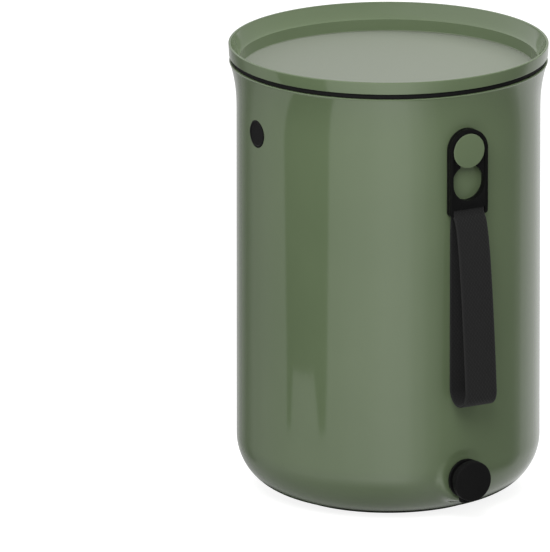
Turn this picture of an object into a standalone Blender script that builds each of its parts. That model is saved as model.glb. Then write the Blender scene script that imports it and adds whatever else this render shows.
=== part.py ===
"""A kitchen bokashi bin: a turned tub with a flared rim and a wide round bottom corner, a dished lid
on a rubber seal, a perforated drain grid on feet, a quarter-turn tap, and a webbing carrying strap
whose two keyhole plates hang on one button, as it is stored.

Metres, +Z up. The origin is the middle of the base pad's underside. The tap, the front button and
the strap face -Y, the rear button faces +Y and the side plugs face -X and +X."""

import math

import bmesh
import bpy
from mathutils import Matrix

# Clearances that every seat and every cut shares
SEAT_GAP = 0.0003
OVERRUN = 0.002
WELD_DISTANCE = 0.000001

# Tub
TUB_RADIUS = 0.1067
TUB_HEIGHT = 0.3092
TUB_WALL = 0.0025
CORNER_RADIUS = 0.0386
RIM_FLARE = 0.0053
FLARE_HEIGHT = 0.0363
FLARE_EXPONENT = 2.4
FLARE_CROWDING = 1.5
MOUTH_LIP = 0.0013
RIM_ROUND = 0.0005

# Base pad
PAD_RADIUS = 0.0715
PAD_THICKNESS = 0.0012
PAD_CHAMFER = 0.0003

# Lid and its seal
LID_OVERHANG = 0.0004
LID_LIP = 0.0018
LID_WALL = 0.002
LID_SKIRT_HEIGHT = 0.0088
LID_SKIRT_DRAFT = 0.0004
LID_EDGE_ROUND = 0.0005
LID_CREASE_DEPTH = 0.0114
LID_DISH_DEPTH = 0.0192
LID_FLOOR_FILLET = 0.0025
LID_SLOPE_EXPONENT = 0.75
PLUG_CLEARANCE = 0.0009
PLUG_DRAFT = 0.0017
SEAL_BAND = 0.0036
SEAL_RECESS = 0.0014
SEAL_TONGUE = 0.0008
SEAL_GROOVE_DEPTH = 0.0018
SEAL_GROOVE_INSET = 0.0011

# Drain grid
GRID_CLEARANCE = 0.0004
GRID_THICKNESS = 0.0024
GRID_RIM_DEPTH = 0.005
GRID_RIM_WALL = 0.002
GRID_LIP = 0.001
GRID_EDGE_ROUND = 0.0006
GRID_TAP_CLEARANCE = 0.001
GRID_HOLE_RADIUS = 0.004
GRID_HOLE_PITCH = 0.0225
GRID_HOLE_LAND = 0.0015
GRID_FIRST_RING_HOLES = 6
GRID_FEET = 5
GRID_FOOT_TOP_RADIUS = 0.0045
GRID_FOOT_END_RADIUS = 0.0036

# Tap, whose places are distances out from the tub's axis
TAP_HEIGHT = 0.0305
TAP_SEAT_DEPTH = 0.0007
TAP_BOSS_RADIUS = 0.016
TAP_BOSS_LENGTH = 0.0095
TAP_POCKET_WALL = 0.0026
TAP_PLATE = 0.0028
TAP_SHANK_RADIUS = 0.008
TAP_SHANK_TAIL = 0.0017
TAP_GASKET_RADIUS = 0.0115
TAP_OUTER_GASKET = 0.0012
TAP_INNER_GASKET = 0.0014
TAP_FLANGE_RADIUS = 0.0139
TAP_FLANGE = 0.0018
TAP_BARREL_RADIUS = 0.011
TAP_BARREL_LENGTH = 0.0046
TAP_NUT_LENGTH = 0.008
TAP_NUT_RADIUS = 0.0126
TAP_NUT_CHAMFER = 0.0008
TAP_PLUG_RADIUS = 0.005
TAP_PLUG_HEEL_STEP = 0.001
TAP_PLUG_HEEL_LENGTH = 0.0125
TAP_WATERWAY_RADIUS = 0.0025
TAP_PORT_WIDTH = 0.0034
TAP_SPIGOT = 0.0046
TAP_SPIGOT_LENGTH = 0.0026
TAP_ORING = 0.0009
TAP_ORING_GROOVE_DEPTH = 0.0008
TAP_ORING_STANDOFF = 0.0001
SPOUT_WIDTH = 0.012
SPOUT_DEPTH = 0.006
SPOUT_REACH = 0.016
SPOUT_WALL = 0.0013
KNOB_RADIUS = 0.0143
KNOB_DEPTH = 0.0052
KNOB_FACE = 0.0022
KNOB_SKIRT = 0.0018
KNOB_POST_RADIUS = 0.0052
KNOB_ROUND = 0.001

# Strap buttons
BUTTON_DROP = 0.0406
BUTTON_HEAD_RADIUS = 0.0124
BUTTON_HEAD = 0.0014
BUTTON_ROUND = 0.0004
BUTTON_SHANK_RADIUS = 0.006
BUTTON_SPIGOT_RADIUS = 0.004
BUTTON_SCREW_RADIUS = 0.0015
BUTTON_SCREW_GRIP = 0.006
WASHER_RADIUS = 0.009
WASHER_THICKNESS = 0.001
SCREW_HEAD_RADIUS = 0.0034
SCREW_HEAD = 0.0018
SCREW_SLOT_WIDTH = 0.0009
SCREW_SLOT_DEPTH = 0.0009

# Side plugs
PLUG_DROP = 0.0402
SIDE_PLUG_RADIUS = 0.0096
SIDE_PLUG_FLANGE = 0.0012
SIDE_PLUG_SEAT_DEPTH = 0.0013
SIDE_PLUG_DISH = 0.0003
SIDE_PLUG_RIM = 0.0012
SIDE_PLUG_STEM_RADIUS = 0.007
SIDE_PLUG_STEM_WALL = 0.0015
SIDE_PLUG_BARB = 0.0008
SIDE_PLUG_BARB_LENGTH = 0.0016
SIDE_PLUG_TAIL = 0.0016

# Keyhole plates and webbing
PLATE_WALL_GAP = 0.0006
PLATE_THICKNESS = 0.0026
PLATE_WIDTH = 0.03
PLATE_RISE = 0.0156
PLATE_DROP = 0.0465
PLATE_END_ROUND = 0.0025
KEY_TRAVEL = 0.0231
KEY_CLEARANCE = 0.0004
WEBBING_WIDTH = 0.025
WEBBING_THICKNESS = 0.0012
WEBBING_HOLD = 0.007
WEBBING_LIP = 0.0048
LOOP_TAP_CLEARANCE = 0.0395
LOOP_DEPTH = 0.0236
LOOP_BEND_HEIGHT = 0.011
LOOP_FRONT_EXPONENT = 0.66
LOOP_BACK_LEAD = 0.012

# Facets
TUB_STEPS = 56
SMALL_STEPS = 24
TINY_STEPS = 16
CORNER_STEPS = 6
INSIDE_CORNER_STEPS = 4
FLARE_STEPS = 5
INSIDE_FLARE_STEPS = 2
FILLET_STEPS = 3
SLOPE_STEPS = 4
ROUND_STEPS = 2
PLATE_END_STEPS = 3
PLATE_TOP_STEPS = 16
SEAT_STEPS = 8
ENTRY_STEPS = 20
TRACK_STEPS = 12
LOOP_RUN_STEPS = 9
LOOP_BEND_STEPS = 8
NUT_SIDES = 6
HOLE_SIDES = 8

# Places worked out from the sizes above
TUB_BOTTOM = PAD_THICKNESS + SEAT_GAP
RIM_Z = TUB_BOTTOM + TUB_HEIGHT
RIM_RADIUS = TUB_RADIUS + RIM_FLARE
MOUTH_RADIUS = RIM_RADIUS - TUB_WALL - MOUTH_LIP
BORE_RADIUS = TUB_RADIUS - TUB_WALL
FLOOR_Z = TUB_BOTTOM + TUB_WALL
LID_SKIRT_Z = RIM_Z + SEAL_BAND
LID_TOP_Z = LID_SKIRT_Z + LID_SKIRT_HEIGHT
LID_RADIUS = RIM_RADIUS + LID_OVERHANG
LID_PLUG_RADIUS = MOUTH_RADIUS - PLUG_CLEARANCE
TAP_Z = TUB_BOTTOM + TAP_HEIGHT
GRID_Z = TAP_Z + TAP_BOSS_RADIUS + GRID_TAP_CLEARANCE + GRID_RIM_DEPTH
TAP_SEAT = TUB_RADIUS - TAP_SEAT_DEPTH
TAP_FLANGE_BACK = TAP_SEAT + 2 * SEAT_GAP + TAP_OUTER_GASKET
TAP_FLANGE_FRONT = TAP_FLANGE_BACK + TAP_FLANGE
TAP_BARREL_FRONT = TAP_FLANGE_FRONT + TAP_BARREL_LENGTH
TAP_POCKET_FACE = TAP_SEAT - TAP_PLATE
TAP_POCKET_RADIUS = TAP_BOSS_RADIUS - TAP_POCKET_WALL
TAP_NUT_FACE = TAP_POCKET_FACE - 2 * SEAT_GAP - TAP_INNER_GASKET
TAP_SHANK_END = TAP_NUT_FACE - TAP_NUT_LENGTH - TAP_SHANK_TAIL
SPOUT_OUT = TAP_BARREL_FRONT - SPOUT_DEPTH / 2
KNOB_BACK = TAP_BARREL_FRONT + SEAT_GAP
KNOB_FRONT = KNOB_BACK + KNOB_DEPTH
BUTTON_Z = RIM_Z - BUTTON_DROP
PLUG_Z = RIM_Z - PLUG_DROP
INNER_PLATE_BACK = TUB_RADIUS + PLATE_WALL_GAP
OUTER_PLATE_BACK = INNER_PLATE_BACK + PLATE_THICKNESS + SEAT_GAP
BUTTON_FRONT = OUTER_PLATE_BACK + PLATE_THICKNESS
BUTTON_NECK = BUTTON_FRONT - BUTTON_HEAD
KEY_RADIUS = BUTTON_HEAD_RADIUS + KEY_CLEARANCE
KEY_SLOT_HALF = BUTTON_SHANK_RADIUS + SEAT_GAP
LOOP_DROP = BUTTON_Z - PLATE_DROP - TAP_Z - KNOB_RADIUS - LOOP_TAP_CLEARANCE

FACING = {
    "front": (math.pi / 2, 0, 0),
    "rear": (-math.pi / 2, 0, 0),
    "left": (0, -math.pi / 2, 0),
    "right": (0, math.pi / 2, 0),
}


def clear_scene():
    """Removes what the file opened with, and makes the part's and the cutters' collections."""
    for obj in list(bpy.data.objects):
        bpy.data.objects.remove(obj)
    made = []
    for name in ("bokashi_bin", "cutters"):
        made.append(bpy.data.collections.new(name))
        bpy.context.scene.collection.children.link(made[-1])
    return made


def plastic(name, colour, roughness, metallic=0.0):
    """A Principled material of one colour."""
    material = bpy.data.materials.new(name)
    material.use_nodes = True
    shader = material.node_tree.nodes["Principled BSDF"]
    shader.inputs["Base Color"].default_value = (*colour, 1.0)
    shader.inputs["Roughness"].default_value = roughness
    shader.inputs["Metallic"].default_value = metallic
    return material


def arc(centre, radius, start, end, steps):
    """Points of an arc from one angle to another, in degrees, both ends among them."""
    points = []
    for step in range(steps + 1):
        angle = math.radians(start + (end - start) * step / steps)
        points.append((centre[0] + radius * math.cos(angle), centre[1] + radius * math.sin(angle)))
    return points


def add_object(name, mesh, collection, material=None):
    """An object of this mesh in the collection, with the material if it has one."""
    obj = bpy.data.objects.new(name, mesh)
    collection.objects.link(obj)
    if material:
        mesh.materials.append(material)
    return obj


def turned(name, profile, steps, collection, material=None, closed=False):
    """A solid of revolution about local Z: the profile runs down its outer side."""
    mesh = bpy.data.meshes.new(name)
    edges = [(i, i + 1) for i in range(len(profile) - 1)]
    if closed:
        edges.append((len(profile) - 1, 0))
    mesh.from_pydata([(radius, 0, height) for radius, height in profile], edges, [])
    obj = add_object(name, mesh, collection, material)
    screw = obj.modifiers.new("turn", "SCREW")
    screw.steps = steps
    screw.render_steps = steps
    screw.use_merge_vertices = True
    screw.merge_threshold = WELD_DISTANCE
    screw.use_smooth_shade = True
    return obj


def flat_piece(name, loops, low, high, collection, material=None):
    """A flat outline, with holes where further loops lie in it, from local z low to high."""
    curve = bpy.data.curves.new(name, "CURVE")
    curve.dimensions = "2D"
    curve.fill_mode = "BOTH"
    curve.extrude = (high - low) / 2
    for loop in loops:
        spline = curve.splines.new("POLY")
        spline.points.add(len(loop) - 1)
        for point, (x, y) in zip(spline.points, loop):
            point.co = (x, y, 0, 1)
        spline.use_cyclic_u = True
    drawn = bpy.data.objects.new(name + "_outline", curve)
    collection.objects.link(drawn)
    graph = bpy.context.evaluated_depsgraph_get()
    mesh = bpy.data.meshes.new_from_object(drawn.evaluated_get(graph))
    mesh.name = name
    bpy.data.objects.remove(drawn)
    shape = bmesh.new()
    shape.from_mesh(mesh)
    bmesh.ops.remove_doubles(shape, verts=shape.verts, dist=WELD_DISTANCE)
    bmesh.ops.translate(shape, verts=shape.verts, vec=(0, 0, (low + high) / 2))
    bmesh.ops.recalc_face_normals(shape, faces=shape.faces)
    shape.to_mesh(mesh)
    shape.free()
    return add_object(name, mesh, collection, material)


def rod(name, radius, low, high, steps, collection, material=None, end_radius=None):
    """A cylinder, or a cone, along local Z; radius is at the low end."""
    shape = bmesh.new()
    bmesh.ops.create_cone(
        shape,
        cap_ends=True,
        segments=steps,
        radius1=radius,
        radius2=radius if end_radius is None else end_radius,
        depth=high - low,
        matrix=Matrix.Translation((0, 0, (low + high) / 2)),
    )
    mesh = bpy.data.meshes.new(name)
    shape.to_mesh(mesh)
    shape.free()
    return add_object(name, mesh, collection, material)


def block(name, low, high, collection):
    """A box between two corners."""
    size = [b - a for a, b in zip(low, high)]
    middle = [(a + b) / 2 for a, b in zip(low, high)]
    shape = bmesh.new()
    bmesh.ops.create_cube(shape, size=1, matrix=Matrix.Translation(middle) @ Matrix.Diagonal((*size, 1)))
    mesh = bpy.data.meshes.new(name)
    shape.to_mesh(mesh)
    shape.free()
    return add_object(name, mesh, collection)


def face(obj, side, height):
    """Turns local Z to point out of one side of the tub, at this height."""
    obj.rotation_euler = FACING[side]
    obj.location = (0, 0, height)
    return obj


def combine(target, tool, operation):
    """Cuts the target by the tool, or joins the tool to it, and leaves the tool as a wire guide."""
    tool.hide_render = True
    tool.display_type = "WIRE"
    boolean = target.modifiers.new(tool.name, "BOOLEAN")
    boolean.operation = operation
    boolean.object = tool
    boolean.solver = "EXACT"


def cut(target, tool):
    combine(target, tool, "DIFFERENCE")


def join(target, tool):
    combine(target, tool, "UNION")


def smooth(obj, angle=35):
    """Smooth shading up to this many degrees between faces."""
    obj.data.shade_smooth()
    obj.data.set_sharp_from_angle(angle=math.radians(angle))


def rounded_box(width, depth, radius):
    """A rectangle with round corners about the origin, as a loop of points."""
    points = []
    for x_side, y_side, start in ((1, 1, 0), (-1, 1, 90), (-1, -1, 180), (1, -1, 270)):
        centre = (x_side * (width / 2 - radius), y_side * (depth / 2 - radius))
        points += arc(centre, radius, start, start + 90, ROUND_STEPS)
    return points


def tub_radius_at(drop):
    """The tub's outside radius at this drop below its rim: the straight wall and the flare."""
    if drop >= FLARE_HEIGHT:
        return TUB_RADIUS
    return TUB_RADIUS + RIM_FLARE * (1 - drop / FLARE_HEIGHT) ** FLARE_EXPONENT


def flare_drops(first_drop, steps):
    """Drops from this one to the flare's foot, closer together near the rim where it curves most."""
    drops = []
    for step in range(steps + 1):
        along = (step / steps) ** FLARE_CROWDING
        drops.append(first_drop + (FLARE_HEIGHT - first_drop) * along)
    return drops


def tub_profile():
    """Floor, bore, mouth, rim, flare, wall and round corner, from the axis inside to the axis below."""
    centre = (TUB_RADIUS - CORNER_RADIUS, TUB_BOTTOM + CORNER_RADIUS)
    mouth_drop = FLARE_HEIGHT * (1 - (1 - MOUTH_LIP / RIM_FLARE) ** (1 / FLARE_EXPONENT))
    inside = [(0, FLOOR_Z)]
    inside += arc(centre, CORNER_RADIUS - TUB_WALL, -90, 0, INSIDE_CORNER_STEPS)
    for drop in reversed(flare_drops(mouth_drop, INSIDE_FLARE_STEPS)):
        inside.append((tub_radius_at(drop) - TUB_WALL, RIM_Z - drop))
    rim = [
        (MOUTH_RADIUS, RIM_Z - RIM_ROUND),
        (MOUTH_RADIUS + RIM_ROUND, RIM_Z),
        (RIM_RADIUS - RIM_ROUND, RIM_Z),
    ]
    outside = [(tub_radius_at(drop), RIM_Z - drop) for drop in flare_drops(RIM_ROUND, FLARE_STEPS)]
    corner = list(reversed(arc(centre, CORNER_RADIUS, -90, 0, CORNER_STEPS)))
    return inside + rim + outside + corner + [(0, TUB_BOTTOM)]


def tap_seat(tub, cutters):
    """The flat boss outside and the round pocket inside that the tap is clamped between."""
    inner_end = TAP_SEAT - TAP_BOSS_LENGTH
    boss = rod("tap_boss", TAP_BOSS_RADIUS, inner_end, TAP_SEAT, SMALL_STEPS, cutters)
    spot = rod("tap_spot_face", TAP_BOSS_RADIUS, TAP_SEAT, TUB_RADIUS + OVERRUN, SMALL_STEPS, cutters)
    pocket = rod(
        "tap_pocket", TAP_POCKET_RADIUS, inner_end - OVERRUN, TAP_POCKET_FACE, SMALL_STEPS, cutters
    )
    bore = rod(
        "tap_bore",
        TAP_SHANK_RADIUS + SEAT_GAP,
        inner_end - OVERRUN,
        TUB_RADIUS + OVERRUN,
        SMALL_STEPS,
        cutters,
    )
    join(tub, face(boss, "front", TAP_Z))
    for tool in (spot, pocket, bore):
        cut(tub, face(tool, "front", TAP_Z))


def tub(parts, cutters, material):
    """The moulded tub, with its tap seat and the holes for the buttons and the side plugs."""
    obj = turned("tub", tub_profile(), TUB_STEPS, parts, material)
    tap_seat(obj, cutters)
    low = BORE_RADIUS - WASHER_THICKNESS - OVERRUN
    high = TUB_RADIUS + OVERRUN
    for side in ("front", "rear"):
        hole = rod(
            side + "_button_hole", BUTTON_SPIGOT_RADIUS + SEAT_GAP, low, high, TINY_STEPS, cutters
        )
        cut(obj, face(hole, side, BUTTON_Z))
    for side in ("left", "right"):
        hole = rod(
            side + "_plug_hole", SIDE_PLUG_STEM_RADIUS + SEAT_GAP, low, high, SMALL_STEPS, cutters
        )
        spot = rod(
            side + "_plug_spot_face",
            SIDE_PLUG_RADIUS + SEAT_GAP,
            TUB_RADIUS - SIDE_PLUG_SEAT_DEPTH,
            high,
            SMALL_STEPS,
            cutters,
        )
        cut(obj, face(spot, side, PLUG_Z))
        cut(obj, face(hole, side, PLUG_Z))
    return obj


def base_pad(parts, material):
    """The non-slip disc that the tub stands on."""
    profile = [
        (0, PAD_THICKNESS),
        (PAD_RADIUS - PAD_CHAMFER, PAD_THICKNESS),
        (PAD_RADIUS, PAD_THICKNESS - PAD_CHAMFER),
        (PAD_RADIUS, PAD_CHAMFER),
        (PAD_RADIUS - PAD_CHAMFER, 0),
        (0, 0),
    ]
    return turned("base_pad", profile, TUB_STEPS, parts, material)


def lid(parts, material):
    """The dished lid: floor, hollow slope up to a thin lip, skirt, seal groove and plug wall."""
    floor_z = LID_TOP_Z - LID_DISH_DEPTH
    crease = (LID_PLUG_RADIUS - LID_WALL, LID_TOP_Z - LID_CREASE_DEPTH)
    floor_radius = crease[0] - PLUG_DRAFT
    lip_radius = LID_RADIUS - LID_LIP
    fillet = LID_FLOOR_FILLET
    profile = [(0, floor_z)]
    profile += arc((floor_radius - fillet, floor_z + fillet), fillet, -90, 0, FILLET_STEPS)
    for step in range(SLOPE_STEPS):
        share = step / SLOPE_STEPS
        radius = crease[0] + (lip_radius - crease[0]) * share**LID_SLOPE_EXPONENT
        profile.append((radius, crease[1] + (LID_CREASE_DEPTH - LID_EDGE_ROUND) * share))
    profile += [
        (lip_radius, LID_TOP_Z - LID_EDGE_ROUND),
        (lip_radius + LID_EDGE_ROUND, LID_TOP_Z),
        (LID_RADIUS - LID_EDGE_ROUND, LID_TOP_Z),
        (LID_RADIUS, LID_TOP_Z - LID_EDGE_ROUND),
        (LID_RADIUS - LID_SKIRT_DRAFT, LID_SKIRT_Z + LID_EDGE_ROUND),
        (LID_RADIUS - LID_SKIRT_DRAFT - LID_EDGE_ROUND, LID_SKIRT_Z),
    ]
    groove_in = LID_PLUG_RADIUS + SEAL_GROOVE_INSET
    groove_out = groove_in + SEAL_TONGUE + 2 * SEAT_GAP
    groove_top = LID_SKIRT_Z + SEAL_GROOVE_DEPTH
    profile += [
        (groove_out, LID_SKIRT_Z),
        (groove_out, groove_top),
        (groove_in, groove_top),
        (groove_in, LID_SKIRT_Z),
        (LID_PLUG_RADIUS, LID_SKIRT_Z),
    ]
    under_radius = floor_radius + LID_WALL
    under_fillet = fillet + LID_WALL
    centre = (under_radius - under_fillet, floor_z - LID_WALL + under_fillet)
    profile += arc(centre, under_fillet, 0, -90, FILLET_STEPS)
    profile.append((0, floor_z - LID_WALL))
    return turned("lid", profile, TUB_STEPS, parts, material)


def lid_seal(parts, material):
    """The rubber ring between lid and rim, with the tongue that holds it in the lid's groove."""
    top = LID_SKIRT_Z - SEAT_GAP
    bottom = RIM_Z + SEAT_GAP
    inner = LID_PLUG_RADIUS + SEAT_GAP
    outer = LID_RADIUS - LID_SKIRT_DRAFT - SEAL_RECESS
    tongue_in = LID_PLUG_RADIUS + SEAL_GROOVE_INSET + SEAT_GAP
    tongue_out = tongue_in + SEAL_TONGUE
    tongue_top = LID_SKIRT_Z + SEAL_GROOVE_DEPTH - SEAT_GAP
    profile = [
        (tongue_in, tongue_top),
        (tongue_out, tongue_top),
        (tongue_out, top),
        (outer, top),
        (outer, bottom),
        (inner, bottom),
        (inner, top),
        (tongue_in, top),
    ]
    return turned("lid_seal", profile, TUB_STEPS, parts, material, closed=True)


def grid_hole_places(inner_radius):
    """The middles of the drain holes: one on the axis and rings of six more each, inside the rim."""
    rings = int((inner_radius - GRID_HOLE_RADIUS - GRID_HOLE_LAND) / GRID_HOLE_PITCH)
    places = [(0, 0)]
    for ring in range(1, rings + 1):
        places += arc((0, 0), ring * GRID_HOLE_PITCH, 0, 360, ring * GRID_FIRST_RING_HOLES)[1:]
    return places


def grid_foot_circle():
    """How far out the feet stand: midway between two rings of holes, on the flat of the tub's floor."""
    room = TUB_RADIUS - CORNER_RADIUS - GRID_FOOT_TOP_RADIUS
    return (int(room / GRID_HOLE_PITCH - 1 / 2) + 1 / 2) * GRID_HOLE_PITCH


def drain_grid(parts, cutters, material):
    """The strainer that keeps the waste above the liquid. It lifts out past the wall's fittings."""
    radius = min(screw_head_face(), plug_stem_end()) - GRID_CLEARANCE
    top = GRID_Z + GRID_THICKNESS
    loops = [arc((0, 0), radius - GRID_RIM_WALL / 2, 0, 360, TUB_STEPS)[1:]]
    for place in grid_hole_places(radius - GRID_RIM_WALL):
        loops.append(arc(place, GRID_HOLE_RADIUS, 0, 360, HOLE_SIDES)[1:])
    obj = flat_piece("drain_grid", loops, GRID_Z, top, parts, material)
    rim_profile = [
        (radius - GRID_RIM_WALL, top + GRID_LIP),
        (radius - GRID_EDGE_ROUND, top + GRID_LIP),
        (radius, top + GRID_LIP - GRID_EDGE_ROUND),
        (radius, GRID_Z - GRID_RIM_DEPTH),
        (radius - GRID_RIM_WALL, GRID_Z - GRID_RIM_DEPTH),
    ]
    join(obj, turned("grid_rim", rim_profile, TUB_STEPS, cutters, closed=True))
    places = arc((0, 0), grid_foot_circle(), 90, 450, GRID_FEET)[1:]
    for number, (x, y) in enumerate(places):
        foot = rod(
            f"grid_foot_{number}",
            GRID_FOOT_END_RADIUS,
            FLOOR_Z + SEAT_GAP,
            GRID_Z + GRID_THICKNESS / 2,
            HOLE_SIDES,
            cutters,
            end_radius=GRID_FOOT_TOP_RADIUS,
        )
        foot.location = (x, y, 0)
        join(obj, foot)
    return obj


def tap_body(parts, cutters, material):
    """Flange, barrel, flat spout and threaded shank, bored for the turning plug."""
    bore = TAP_PLUG_RADIUS + SEAT_GAP
    heel = bore + TAP_PLUG_HEEL_STEP
    heel_step = TAP_SHANK_END + TAP_PLUG_HEEL_LENGTH + SEAT_GAP
    profile = [
        (bore, TAP_BARREL_FRONT),
        (TAP_BARREL_RADIUS, TAP_BARREL_FRONT),
        (TAP_BARREL_RADIUS, TAP_FLANGE_FRONT),
        (TAP_FLANGE_RADIUS, TAP_FLANGE_FRONT),
        (TAP_FLANGE_RADIUS, TAP_FLANGE_BACK),
        (TAP_SHANK_RADIUS, TAP_FLANGE_BACK),
        (TAP_SHANK_RADIUS, TAP_SHANK_END),
        (heel, TAP_SHANK_END),
        (heel, heel_step),
        (bore, heel_step),
    ]
    obj = turned("tap_body", profile, SMALL_STEPS, parts, material, closed=True)
    face(obj, "front", TAP_Z)
    end = TAP_Z - SPOUT_REACH
    root = TAP_Z - (TAP_PLUG_RADIUS + TAP_BARREL_RADIUS) / 2
    outside = rounded_box(SPOUT_WIDTH, SPOUT_DEPTH - SEAT_GAP, SPOUT_WALL)
    way_width = SPOUT_WIDTH - 2 * SPOUT_WALL
    inside = rounded_box(way_width, SPOUT_DEPTH - 2 * SPOUT_WALL, SPOUT_WALL / 2)
    spout = flat_piece("spout_wall", [outside], end, root, cutters)
    way = flat_piece("spout_way", [inside], end - OVERRUN, TAP_Z - TAP_PLUG_RADIUS / 2, cutters)
    for tool in (spout, way):
        tool.location = (0, -SPOUT_OUT, 0)
    join(obj, spout)
    cut(obj, way)
    return obj


def tap_plug(parts, cutters, material):
    """The turning core: a heel inside, a waterway with one side port, and a square spigot in front."""
    radius = TAP_PLUG_RADIUS
    heel = radius + TAP_PLUG_HEEL_STEP
    heel_front = TAP_SHANK_END + TAP_PLUG_HEEL_LENGTH
    groove = radius - TAP_ORING_GROOVE_DEPTH
    profile = [(0, TAP_BARREL_FRONT), (radius, TAP_BARREL_FRONT)]
    for centre in oring_places():
        half = TAP_ORING / 2 + TAP_ORING_STANDOFF
        profile += [(radius, centre + half), (groove, centre + half)]
        profile += [(groove, centre - half), (radius, centre - half)]
    profile += [(radius, heel_front), (heel, heel_front), (heel, TAP_SHANK_END)]
    way_end = SPOUT_OUT + TAP_PORT_WIDTH / 2
    profile += [(TAP_WATERWAY_RADIUS, TAP_SHANK_END), (TAP_WATERWAY_RADIUS, way_end), (0, way_end)]
    obj = turned("tap_plug", profile, TINY_STEPS, parts, material)
    half = TAP_SPIGOT / 2
    spigot = block(
        "plug_spigot",
        (-half, -half, TAP_BARREL_FRONT - SEAT_GAP),
        (half, half, TAP_BARREL_FRONT + TAP_SPIGOT_LENGTH),
        cutters,
    )
    width = TAP_PORT_WIDTH / 2
    port = block(
        "plug_port",
        (-radius - OVERRUN, -width, SPOUT_OUT - width),
        (0, width, SPOUT_OUT + width - SEAT_GAP),
        cutters,
    )
    face(obj, "front", TAP_Z)
    join(obj, face(spigot, "front", TAP_Z))
    cut(obj, face(port, "front", TAP_Z))
    return obj


def oring_places():
    """How far out the two O-rings lie: in front of the port and behind it."""
    front = (TAP_BARREL_FRONT + SPOUT_OUT + TAP_PORT_WIDTH / 2) / 2
    behind = SPOUT_OUT - TAP_PORT_WIDTH / 2 - 2 * TAP_ORING
    return front, behind


def tap_orings(parts, material):
    """The two rings that seal the plug in its bore."""
    inner = TAP_PLUG_RADIUS - TAP_ORING_GROOVE_DEPTH + TAP_ORING_STANDOFF
    outer = TAP_PLUG_RADIUS + 2 * TAP_ORING_STANDOFF
    middle = (inner + outer) / 2
    half = TAP_ORING / 2
    made = []
    for name, centre in zip(("tap_front_oring", "tap_inner_oring"), oring_places()):
        profile = [(middle, centre + half), (outer, centre), (middle, centre - half), (inner, centre)]
        made.append(turned(name, profile, TINY_STEPS, parts, material, closed=True))
        face(made[-1], "front", TAP_Z)
    return made


def tap_knob(parts, cutters, material):
    """The plain round knob: a shallow cup with a post that takes the plug's square spigot."""
    inside = KNOB_FRONT - KNOB_FACE
    profile = [(0, KNOB_FRONT)]
    centre = (KNOB_RADIUS - KNOB_ROUND, KNOB_FRONT - KNOB_ROUND)
    profile += arc(centre, KNOB_ROUND, 90, 0, ROUND_STEPS)
    profile += [
        (KNOB_RADIUS, KNOB_BACK),
        (KNOB_RADIUS - KNOB_SKIRT, KNOB_BACK),
        (KNOB_RADIUS - KNOB_SKIRT, inside),
        (KNOB_POST_RADIUS, inside),
        (KNOB_POST_RADIUS, KNOB_BACK),
        (0, KNOB_BACK),
    ]
    obj = turned("tap_knob", profile, SMALL_STEPS, parts, material)
    half = TAP_SPIGOT / 2 + SEAT_GAP
    socket = block(
        "knob_socket",
        (-half, -half, KNOB_BACK - OVERRUN),
        (half, half, TAP_BARREL_FRONT + TAP_SPIGOT_LENGTH + SEAT_GAP),
        cutters,
    )
    face(obj, "front", TAP_Z)
    cut(obj, face(socket, "front", TAP_Z))
    return obj


def ring(name, inner, outer, low, high, steps, parts, material, side, height):
    """A flat ring facing one side of the tub."""
    profile = [(inner, high), (outer, high), (outer, low), (inner, low)]
    return face(turned(name, profile, steps, parts, material, closed=True), side, height)


def tap_gaskets(parts, material):
    """The rubber rings outside and inside the tub's wall."""
    hole = TAP_SHANK_RADIUS + SEAT_GAP
    outside = TAP_SEAT + SEAT_GAP
    inside = TAP_POCKET_FACE - SEAT_GAP
    ring(
        "tap_outer_gasket", hole, TAP_GASKET_RADIUS, outside, outside + TAP_OUTER_GASKET,
        TINY_STEPS, parts, material, "front", TAP_Z,
    )
    ring(
        "tap_inner_gasket", hole, TAP_GASKET_RADIUS, inside - TAP_INNER_GASKET, inside,
        TINY_STEPS, parts, material, "front", TAP_Z,
    )


def tap_nut(parts, cutters, material):
    """The six-sided nut that clamps the tap from inside, chamfered at its free end."""
    back = TAP_NUT_FACE - TAP_NUT_LENGTH
    front = TAP_NUT_FACE
    obj = rod("tap_nut", TAP_NUT_RADIUS, back, front, NUT_SIDES, parts, material)
    bore = TAP_SHANK_RADIUS + SEAT_GAP
    hole = rod("nut_hole", bore, back - OVERRUN, front + OVERRUN, SMALL_STEPS, cutters)
    bevel = obj.modifiers.new("chamfer", "BEVEL")
    bevel.width = TAP_NUT_CHAMFER
    bevel.segments = 1
    bevel.limit_method = "ANGLE"
    face(obj, "front", TAP_Z)
    cut(obj, face(hole, "front", TAP_Z))
    return obj


def washer_face():
    """How far out a flat washer can lie inside the curved wall."""
    return math.sqrt(BORE_RADIUS**2 - WASHER_RADIUS**2) - SEAT_GAP


def screw_head_face():
    """How far out a button's screw head begins: the nearest to the axis that the screw comes."""
    return washer_face() - WASHER_THICKNESS - SEAT_GAP - SCREW_HEAD


def plug_barb_face():
    """How far out a side plug's barb grips behind the curved wall."""
    return math.sqrt(BORE_RADIUS**2 - (SIDE_PLUG_STEM_RADIUS + SEAT_GAP) ** 2) - SEAT_GAP


def plug_stem_end():
    """How far out a side plug's stem ends inside the tub."""
    return plug_barb_face() - SIDE_PLUG_BARB_LENGTH - SIDE_PLUG_TAIL


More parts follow.
